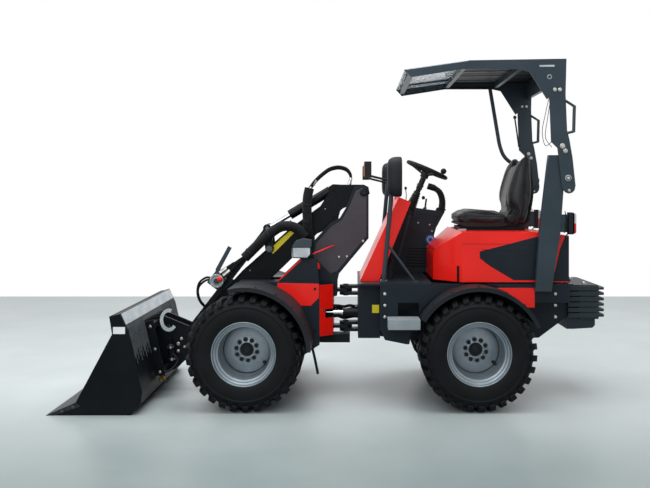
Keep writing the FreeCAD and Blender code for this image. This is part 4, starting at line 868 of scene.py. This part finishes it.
def boom_trim():
    """A blank label, pin collars, welds and bolts on the boom."""
    form = Form()
    form.prism([(561, 1030), (531, 1001), (378, 1154), (407, 1176)], BOOM_SIDE, BOOM_SIDE + 0.9, 0)
    for x, z in (LEVER_PIN, COUPLER_PIN):
        for side in (-1, 1):
            ring = [(30, 0), (30, 2.5), (27, 4.0), (19, 4.0), (19, 0)]
            form.turned(ring, (x, side * BOOM_SIDE, z), (0, side, 0), 36, 1)
    lower_weld = [(600, 772), (300, 1064), (40, 1318)]
    upper_weld = [(60, 1432), (128, 1386), (400, 1182), (745, 876), (950, 655)]
    for side in (-1, 1):
        form.tube(spline(sideways(lower_weld, side, BOOM_SIDE + 0.6), 6), 3.4, 8, 1)
        form.tube(sideways(upper_weld, side, BOOM_SIDE + 0.6), 3.0, 8, 1)
        form.bolts([(150, 1330), (430, 1120), (700, 880)], side, BOOM_SIDE, 4, 2)
    form.piece("boom_trim", "boom", [YELLOW_FILM, BUCKET, ZINC], sharp=40)


def coupling_block():
    """The face plate's rings, red cap, lever grip, hose unions and the hoses that leave the block."""
    form = Form()
    x, z = boom_line(402.5, 155)
    plate = [(50, 0), (50, 3), (47, 5), (40, 5), (38, 3.5), (26, 3.5), (24, 6), (19, 6), (18, 0)]
    form.turned(plate, (x, 182, z), ACROSS, 48, 0)
    form.turned([(17, 0), (18, 4), (18, 20), (15, 26), (6, 29)], (899, 184, 831), ACROSS, 28, 1)
    for turn in range(6):
        angle = math.radians(60 * turn + 20)
        form.bolt((x + 43 * math.cos(angle), 186, z + 43 * math.sin(angle)), ACROSS, 5, 3)
    foot, tip = Vector(boom_line(370, 195)), Vector((832, 1057))
    along = (tip - foot).normalized()
    across = Vector((-along.y, along.x))
    start = foot + along * 26
    for half, low, high in ((15.0, 141, 159), (12.0, 139, 161)):
        wide, narrow = across * half, across * (half - 1)
        form.prism([start + wide, tip + narrow, tip - narrow, start - wide], low, high, 2)
    for y, offset in ((122, 138), (122, 172), (156, 138), (156, 172)):
        x, z = boom_line(347, offset)
        end = Vector((x, y, z))
        way = (Vector((700, 140 + (y - 140) * 0.7, 1006)) - end).normalized()
        form.turned([(17, 1), (17, 18), (15, 20)], end, way, 6, 3)
        form.turned([(15, 20), (15.5, 24), (15.5, 58), (13, 62)], end, way, 20, 3)
        for step in range(4):
            form.turned([(16.2, 28 + step * 8), (16.2, 31 + step * 8)], end, way, 20, 3)
    for y, drop in ((150, 0), (128, 20)):
        path = [
            (958, y, 832 - drop), (1002, y, 838 - drop), (1052, y, 800 - drop), (1066, y, 735),
            (1052, y - 8, 672), (1018, y - 36, 622), (985, 66, 590),
        ]
        form.tube(spline(path, 7), 8, 12, 4)
        form.turned([(12, 0), (12, 20), (10, 24)], (952, y, 832 - drop), AHEAD, 6, 3)
    form.turned([(13, 0), (13, 12), (10, 16)], (985, 60, 590), ACROSS, 6, 3)
    form.piece("coupling_block_trim", "boom", [GREY, RED, SLATE, ZINC, HOSE], sharp=40)


def arch_fittings():
    """Unions where the boom's hoses arch over the tower, and the ties round the sleeve."""
    form = Form()
    for y in (18, 44):
        form.turned([(15, 0), (15, 16), (13, 18)], (-24, y, 1508), (-0.3, 0, 1), 6, 0)
        form.turned([(12.5, 18), (12.5, 46), (10.5, 50)], (-24, y, 1508), (-0.3, 0, 1), 20, 0)
    for place in ((228, 92, 1520), (262, 118, 1468)):
        form.turned([(12.5, -22), (13, -18), (13, 18), (12.5, 22)], place, (0.5, 0.2, -0.8), 20, 0)
    for place, way, radius in (
        ((279, 134, 1360), UP, 35.5), ((277, 133, 1240), UP, 35.5), ((398, 140, 1211), AHEAD, 37.5),
        ((556, 140, 1146), (0.72, 0, -0.7), 37.5), ((690, 140, 1018), (0.7, 0, -0.72), 37.5),
    ):
        form.turned([(radius, -4), (radius + 1, -3), (radius + 1, 3), (radius, 4)], place, way, 32, 1)
    form.piece("hose_fittings", "boom", [ZINC, SOFT_BLACK], sharp=40)


def on_sheet(low, high, places):
    """Side-view places by their share of the way between two ends and their distance out."""
    way = Vector(high) - Vector(low)
    outward = Vector((-way.y, way.x)).normalized()
    return [tuple(Vector(low) + way * share + outward * out) for share, out in places]


def bucket_trim():
    """The pale strip of painted reflection and the ribs on the bucket's back, its cutting edge, lip, welds
    and a blank label.
    """
    form = Form()
    back_low, back_high, lip = (1318, 160), (1411, 555), (1460, 660)
    # Painted reflection: the pale strip stands for the white surroundings mirrored in the glossy black lip.
    form.prism(on_sheet(back_high, lip, ((0.3, 0.2), (0.97, 0.2), (0.97, 2.2), (0.3, 2.2))), -716, 716, 0)
    fold = on_sheet(back_high, lip, ((0.0, 0.2), (0.3, 0.2), (0.3, 2.4), (0.0, 3.0)))
    # The ribs are geometry; their pale grey finish is a painted reflection.
    for step in range(17):
        end = 0.42 + 0.2 * ((step * 7) % 5) / 4
        rib = on_sheet(back_low, back_high, ((end, 0.2), (0.998, 0.2), (0.998, 3.0), (end, 2.0)))
        for side in (-1, 1):
            y = side * (316 + step * 24)
            form.prism(rib, y - 1.6, y + 1.6, 1)
            form.prism(fold, y - 1.6, y + 1.6, 1)
    label = [(1428, 529), (1506, 529), (1506, 574), (1428, 574)]
    form.prism(label, BUCKET_SIDE, BUCKET_SIDE + 1.2, 2)
    cutting_edge = [(1790, 12.2), (1941, 0.6), (1905, 15), (1790, 24)]
    form.prism(cutting_edge, -BUCKET_INSIDE, BUCKET_INSIDE, 3)
    lip_bar = [(1504, 634), (1531, 626), (1534, 641), (1507, 649)]
    form.prism(lip_bar, -BUCKET_INSIDE, BUCKET_INSIDE, 4)
    seam = [(1405, 14), (1342, 86), (1334, 156), (1424, 548), (1470, 644)]
    side_cutter = [(1748, 85), (1943, 0), (1890, 0), (1715, 60)]
    for side in (-1, 1):
        form.tube(sideways(seam, side, BUCKET_INSIDE), 4.5, 8, 4)
        form.prism(side_cutter, *sorted((side * (BUCKET_SIDE + 0.4), side * (BUCKET_SIDE + 3))), 3)
        form.bolts([(1765, 55), (1835, 28)], side, BUCKET_SIDE + 3, 10, 5)
    for y in (-560, -280, 0, 280, 560):
        for x in (1812, 1848):
            form.turned([(11, 0), (11, 2), (8, 4)], (x, y, 24 - (x - 1790) * 0.0775), (0.08, 0, 1), 20, 5)
    form.piece("bucket_trim", "attachment", [STRIP, RIB, WHITE_FILM, BLADE, BUCKET, PIN_STEEL], sharp=36)


def coupler_trim():
    """The tool coupler's lock cylinder, bolts, brass unions and the flat loop beside it, whose pale colour is
    a painted reflection.
    """
    form = Form()
    cheek_bolts = [(1215, 352, 13), (1192, 388, 11), (1216, 300, 11), (1170, 330, 9)]
    for side in (-1, 1):
        form.bolts(cheek_bolts, side, CHEEK_SIDE, finish=1)
        form.turned([(24, 0), (24, 6), (20, 8), (12, 8)], (1125, side * CHEEK_SIDE, 300), (0, side, 0), 32, 0)
        form.bolts([(1300, 190), (1368, 508), (1335, 350)], side, 300, 10, 1)
    cylinder = [(20, 0), (22, 4), (22, 118), (17, 124), (9, 124), (9, 168)]
    for profile, finish in ((cylinder, 0), ([(24, 10), (24, 26)], 1), ([(24, 96), (24, 112)], 1)):
        form.turned(profile, (1246, 150, 236), (0.12, 0, 1), 28, finish)
    # The loop is a glossy black bent plate; its pale colour is a painted reflection of the white
    # surroundings.
    turns = [math.radians(70 + step * 250 / 14) for step in range(15)]
    outer = [(1236 - 62 * math.cos(turn), 556 + 80 * math.sin(turn)) for turn in turns]
    inner = [(1236 - 40 * math.cos(turn), 556 + 56 * math.sin(turn)) for turn in turns]
    for corners in zip(outer, outer[1:], inner[1:], inner):
        form.prism(corners, 306, 314, 2)
    form.prism([(1205, 492), (1262, 470), (1300, 500), (1240, 520)], 300, 306, 0)
    union = [(9, -4), (9, 14), (7, 16), (7, 24), (10, 26), (10, 40), (6, 42)]
    for x, y, way in ((1284, 296, (-0.5, 0.1, -1)), (1292, 284, (0.3, 0.1, -1)), (1288, 272, (0, 0.4, -1))):
        form.turned(union, (x, y, 168), way, 6, 3)
    form.tube(spline([(1246, 160, 300), (1200, 190, 250), (1230, 240, 200), (1284, 274, 178)], 8), 7, 12, 4)
    form.piece("coupler_trim", "attachment", [BLACK, ZINC, REFLECTING_HOOK, BRASS, HOSE], sharp=38)


def drain_hose():
    """A short drain hose that hangs from the front frame behind the wheel."""
    form = Form()
    route = [(253, 262, 470), (250, 276, 420), (224, 292, 320), (204, 298, 230), (194, 300, 178)]
    form.tube(spline(route, 8), 9.5, 12, 0)
    form.turned([(10, 0), (10, 14), (8, 18)], (253, 262, 456), (0, 0.2, 1), 6, 1)
    form.turned([(8, -2), (8.5, 0), (8.5, 16), (7, 18)], route[-1], (0.15, -0.05, 1), 20, 1)
    form.piece("drain_hose", "front_module", [HOSE, ZINC], sharp=40)


# ---- canopy -------------------------------------------------------------------------------
CANOPY_SIDE = 542.0


def canopy_trim():
    """Bolts, pin rings, blank slots, the headliner, small rods and thin wires on the canopy."""
    form = Form()
    pin, hinge = (-1372, 2224), (-1498, 1545)
    slot = [(-1302, 2298), (-1306, 2304), (-1402, 2305), (-1408, 2299), (-1404, 2293), (-1308, 2292)]
    edge = [(-400, 2275), (-444, 2231), (-790, 2283), (-1165, 2283)]
    bolts = [(-1408, 2139, 13), (-1442, 2139, 13), (-1459, 1760, 18), (-1479, 1727, 16), (-1505, 1461, 10)]
    for side in (-1, 1):
        out = (0, side, 0)
        face = side * CANOPY_SIDE
        for x, z, size in bolts:
            form.bolt((x, face, z), out, size, 0)
            form.bolt((x, side * (CANOPY_SIDE - 10), z), (0, -side, 0), size * 0.8, 0)
        for profile, (x, z), segments, finish in (
            ([(17, 0), (17, 2.4), (15, 3.4), (10, 3.4), (9, 0)], pin, 32, 1),
            ([(22, 0), (22, 4), (19, 6), (13, 6), (12, 3)], hinge, 32, 1),
            ([(12, 3), (11, 8), (4, 9)], hinge, 20, 0),
        ):
            form.turned(profile, (x, face, z), out, segments, finish)
        form.prism(slot, *sorted((face, face + side)), 2)
        for ends in zip(edge, edge[1:]):
            form.tube(sideways(ends, side, CANOPY_SIDE - 12), 5, 8, 3)
    form.prism([(-1474, 2337), (-838, 2329), (-838, 2322), (-1474, 2328)], -528, 528, 3)
    form.prism([(-1165, 2288), (-838, 2288), (-838, 2294), (-1165, 2294)], -531, -524, 3)
    for y in (-360, -120, 120, 360):
        form.prism([(-1460, 2329), (-850, 2323), (-850, 2318), (-1460, 2324)], y - 14, y + 14, 4)
    for y in (-300, 300):
        form.tube([(-420, y, 2274), (-836, y, 2328)], 9, 10, 4)
    form.tube([(-730, 0, 2312), (-841, 0, 2320)], 6, 10, 0)
    form.tube(spline([(-1376, -505, 1813), (-1360, -505, 1930), (-1344, -505, 2040)], 4), 6, 12, 3)
    form.turned([(4, -14), (11, -10), (14, 0), (11, 10), (4, 14)], (-1344, -505, 2050), (0.14, 0, 1), 20, 3)
    for wire in (
        [(-1380, 528, 2120), (-1352, 520, 1990), (-1330, 512, 1860), (-1352, 506, 1766), (-1394, 516, 1790)],
        [(-1384, 528, 2090), (-1362, 524, 1940), (-1350, 520, 1820), (-1392, 524, 1752)],
    ):
        form.tube(spline(wire, 10), 2.2, 8, 3)
    form.piece("canopy_trim", "canopy", [ZINC, GREY, STRIP, SOFT_BLACK, SLATE], sharp=40)


# ---- seat ---------------------------------------------------------------------------------
VOXEL = 0.006  # metres
COVER_FRAMES = 20
COVER_CAP = 0.016  # metres that a point of a cover may move


def remeshed(source):
    """The piece's own mesh made dense and even; returns it."""
    remesh = source.modifiers.new("remesh", "REMESH")
    remesh.mode = "VOXEL"
    remesh.voxel_size = VOXEL
    remesh.use_smooth_shade = True
    graph = bpy.context.evaluated_depsgraph_get()
    dense = bpy.data.meshes.new_from_object(source.evaluated_get(graph))
    source.modifiers.remove(remesh)
    source.data = dense
    return dense


def blown_out(source, dense):
    """Blows the dense mesh out a little like a stuffed cover, and relaxes it."""
    scene = bpy.context.scene
    cloth = source.modifiers.new("cover", "CLOTH")
    settings = cloth.settings
    settings.quality = 4
    settings.tension_stiffness = settings.compression_stiffness = 60.0
    settings.shear_stiffness = 30.0
    settings.bending_stiffness = 12.0
    settings.use_pressure = True
    settings.uniform_pressure_force = 4.0
    settings.effector_weights.gravity = 0.0
    cloth.point_cache.frame_start = 1
    cloth.point_cache.frame_end = COVER_FRAMES
    for frame_number in range(1, COVER_FRAMES + 1):
        scene.frame_set(frame_number)
    graph = bpy.context.evaluated_depsgraph_get()
    blown = source.evaluated_get(graph).data
    for before, after in zip(dense.vertices, blown.vertices):
        move = after.co - before.co
        if move.length > COVER_CAP:
            move *= COVER_CAP / move.length
        before.co = before.co + move
    source.modifiers.remove(cloth)
    scene.frame_set(1)
    relaxed = bmesh.new()
    relaxed.from_mesh(dense)
    for _ in range(6):
        bmesh.ops.smooth_vert(
            relaxed, verts=relaxed.verts, factor=0.5, use_axis_x=True, use_axis_y=True, use_axis_z=True,
        )
    relaxed.to_mesh(dense)
    relaxed.free()


def stuffed(name, sections, node):
    """A padded piece from rings across the machine, with its cover blown out."""
    form = Form()
    form.loft(sections, 0)
    pad = form.piece(name, "hood", [VINYL], sharp=60)
    dense = remeshed(pad)
    blown_out(pad, dense)
    dense.materials.clear()
    dense.materials.append(VINYL)
    for polygon in dense.polygons:
        polygon.use_smooth = True
    smooth = pad.modifiers.new("smooth", "SUBSURF")
    smooth.levels = smooth.render_levels = 1
    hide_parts(node)
    return pad


def bead(form, pad, route, radius, closed=False):
    """A seam's bead laid on the nearest points of a padded piece along a route."""
    path = []
    for place in route:
        spot = pad.closest_point_on_mesh(at(*place))[1]
        path.append(Vector((spot.x * 1000 + AXIS_TO_MIDDLE, spot.y * 1000, spot.z * 1000)))
    form.tube(path + path[:2] if closed else path, radius, 8, 0)


def seat_cushion():
    """The padded cushion on its pan, with its welt, its sewn panel and four channels."""
    rings = []
    for step in range(13):
        across = -1 + step / 6
        edge = abs(across) ** 6
        wing = 10 * max(0.0, abs(across) - 0.62) / 0.38
        outline = [
            (-790 - 20 * edge, 1250), (-796 - 18 * edge, 1296 + wing * 0.4 - 6 * edge),
            (-846, 1318 + wing - 12 * edge), (-1000, 1302 + wing - 12 * edge),
            (-1146 + 10 * edge, 1298 - 12 * edge), (-1146 + 10 * edge, 1222 + 8 * edge),
            (-842 - 20 * edge, 1222 + 8 * edge),
        ]
        rings.append(sideways(rounded(outline), 1, 231 * across))
    pad = stuffed("seat_cushion_pad", rings, "seat_cushion")
    form = Form()
    for level, radius in ((1286, 3.6), (1262, 3.2)):
        welt = [(-966 + 188 * ahead, 240 * across, level) for ahead, across in squared_ring(72, 0.42, 0.34)]
        bead(form, pad, welt, radius, closed=True)
    panel = [(-960 + 128 * ahead, 158 * across, 1340) for ahead, across in squared_ring(60, 0.4, 0.36)]
    bead(form, pad, panel, 2.6, closed=True)
    for x in (-1050, -1000, -950, -900):
        bead(form, pad, [(x, -154 + 308 * step / 24, 1340) for step in range(25)], 1.8)
    pan = rounded([(-800, 1222), (-812, 1240), (-1150, 1240), (-1150, 1206), (-846, 1206)])
    form.prism(pan, -226, 226, 1)
    form.piece("seat_cushion_seams", "hood", [VINYL, SOFT_BLACK], sharp=50)


BACK_SIDE_LINE = [
    (-1190, 1240), (-1186, 1330), (-1170, 1392), (-1176, 1456), (-1232, 1640), (-1276, 1700), (-1300, 1700),
    (-1318, 1440), (-1276, 1240),
]


def before_back(y, z):
    """A place just in front of the seat back, which leans away as it rises."""
    return (-1100 - (z - 1390) * 0.3, y, z)


def seat_back():
    """The padded back with its wings, seams and sewn channels, its hinges and its shell."""
    rings = []
    for step in range(17):
        across = -1 + step / 8
        edge = abs(across) ** 8
        wing = max(0.0, min(1.0, (abs(across) - 0.5) / 0.3))
        hollow = 26 * (1 - wing)
        drop = 40 * (1 - wing)
        outline = [
            (-1178, 1222 + 8 * edge), (-1180 - 12 * edge, 1320),
            (-1156 - hollow * 0.8 - 14 * edge, 1392), (-1160 - hollow - 14 * edge, 1456),
            (-1216 - hollow - 8 * edge, 1640), (-1268 - 4 * edge, 1708 - drop), (-1306, 1708 - drop),
            (-1330 + 10 * edge, 1440), (-1282 + 8 * edge, 1222 + 8 * edge),
        ]
        rings.append(sideways(rounded(outline), 1, 226 * across))
    pad = stuffed("seat_back_pad", rings, "seat_back")
    form = Form()
    panel = [before_back(130 * across, 1500 + 158 * up) for across, up in squared_ring(72, 0.4, 0.4)]
    bead(form, pad, panel, 2.8, closed=True)
    for side in (-1, 1):
        welt = sideways(BACK_SIDE_LINE + BACK_SIDE_LINE[:1], side, 246)
        bead(form, pad, spline(welt, 6), 3.2, closed=True)
    for z in (1430, 1490, 1550, 1610):
        bead(form, pad, [before_back(-126 + 252 * step / 20, z) for step in range(21)], 1.8)
    arm = rounded([(-1150, 1222), (-1150, 1250), (-1196, 1330), (-1230, 1330), (-1220, 1222)])
    for side in (-1, 1):
        hinge = [(30, 0), (34, 4), (34, 20), (28, 26), (12, 28)]
        form.turned(hinge, (-1176, side * 236, 1262), (0, side, 0), 32, 1)
        form.prism(arm, *sorted((side * 232, side * 244)), 1)
    shell = [(-1296, 1240), (-1334, 1440), (-1312, 1660), (-1322, 1664), (-1344, 1440), (-1308, 1236)]
    form.prism(rounded(shell), -196, 196, 1)
    foot = [(-1128, 1206), (-1140, 1256), (-1176, 1330), (-1316, 1330), (-1296, 1206)]
    form.prism(rounded(foot), -186, 186, 1)
    form.piece("seat_back_seams", "hood", [VINYL, SOFT_BLACK], sharp=50)


for end in ("front", "rear"):
    for side, side_name in ((1, "left"), (-1, "right")):
        tyre(end, side, side_name)
        rim(end, side, side_name)
hood_trim()
body_trim()
counterweight()
tail_lamps()
console_trim()
boots()
mirror_housings()
mirror_and_lamp_trim()
front_trim()
headlamps()
joint_hoses()
boom_trim()
coupling_block()
arch_fittings()
bucket_trim()
coupler_trim()
drain_hose()
canopy_trim()
seat_cushion()
seat_back()


# ---- floor, light and camera --------------------------------------------------------------
CAMERA_PLACE = (-0.105, 6.13, 1.431)
CAMERA_LENS = 46.08  # millimetres, on a sensor 36 mm wide
CAMERA_SHIFT = (-0.0415, -0.0754)


def floor():
    """A pale painted floor with painted shade that darkens it towards the viewer."""
    bpy.ops.mesh.primitive_plane_add(size=11.2, location=(0, 0, 0))
    plane = bpy.context.object
    plane.name = "studio_floor"
    look = Look(bpy.data.materials.new("floor_paint_and_painted_shade"))
    cloud = look.texture("Noise", 0.8, detail=8.0, roughness=0.6)
    look.tones(cloud, 0.35, (176, 186, 187), 0.7, (194, 203, 204))
    place = look.node("TexCoord")
    # Painted shade: the floor colour is multiplied darker from the back towards the viewer, standing in for
    # the shade in front of the machine.
    parts = look.node("SeparateXYZ", {"Vector": place.outputs["Object"]})
    reach = {"From Min": -0.6, "From Max": 2.4}
    painted_shade_near_viewer = look.node("MapRange", {"Value": parts.outputs["Y"]}, reach, interpolation_type="SMOOTHSTEP")
    look.mix(painted_shade_near_viewer.outputs["Result"], (0.42, 0.46, 0.46, 1), blend_type="MULTIPLY")
    look.gloss(cloud, 0.3, 0.45)
    plane.data.materials.append(look.owner)


def surroundings():
    """A plain world that the camera, gloss and glass see as white, and that lights less."""
    world = bpy.data.worlds.new("studio")
    bpy.context.scene.world = world
    look = Look(world)
    background = look.tree.nodes["Background"]
    background.inputs["Color"].default_value = (1, 1, 1, 1)
    path = look.node("LightPath")
    seen = path.outputs["Is Camera Ray"]
    for name in ("Is Glossy Ray", "Is Transmission Ray"):
        seen = look.node("Math", {0: seen, 1: path.outputs[name]}, operation="MAXIMUM").outputs["Value"]
    look.tree.links.new(look.spread(seen, 0.62, 1.0), background.inputs["Strength"])


def area_light(name, place, target, size, energy):
    data = bpy.data.lights.new(name, "AREA")
    data.shape = "RECTANGLE"
    data.size, data.size_y = size
    data.energy = energy
    lamp = bpy.data.objects.new(name, data)
    lamp.location = place
    lamp.rotation_euler = (Vector(target) - Vector(place)).to_track_quat("-Z", "Y").to_euler()
    bpy.context.collection.objects.link(lamp)


def camera():
    data = bpy.data.cameras.new("camera")
    data.sensor_width = 36.0
    data.lens = CAMERA_LENS
    data.shift_x, data.shift_y = CAMERA_SHIFT
    obj = bpy.data.objects.new("camera", data)
    obj.location = CAMERA_PLACE
    obj.rotation_euler = (math.radians(90), 0, math.radians(180))
    bpy.context.collection.objects.link(obj)
    bpy.context.scene.camera = obj


floor()
surroundings()
area_light("overhead", (0.0, 0.6, 5.2), (0, 0, 0.6), (6.0, 4.0), 330.0)
area_light("front_fill", (1.5, 5.5, 3.2), (0, 0, 0.9), (4.0, 2.5), 90.0)
camera()

bpy.context.scene.view_settings.view_transform = "Standard"
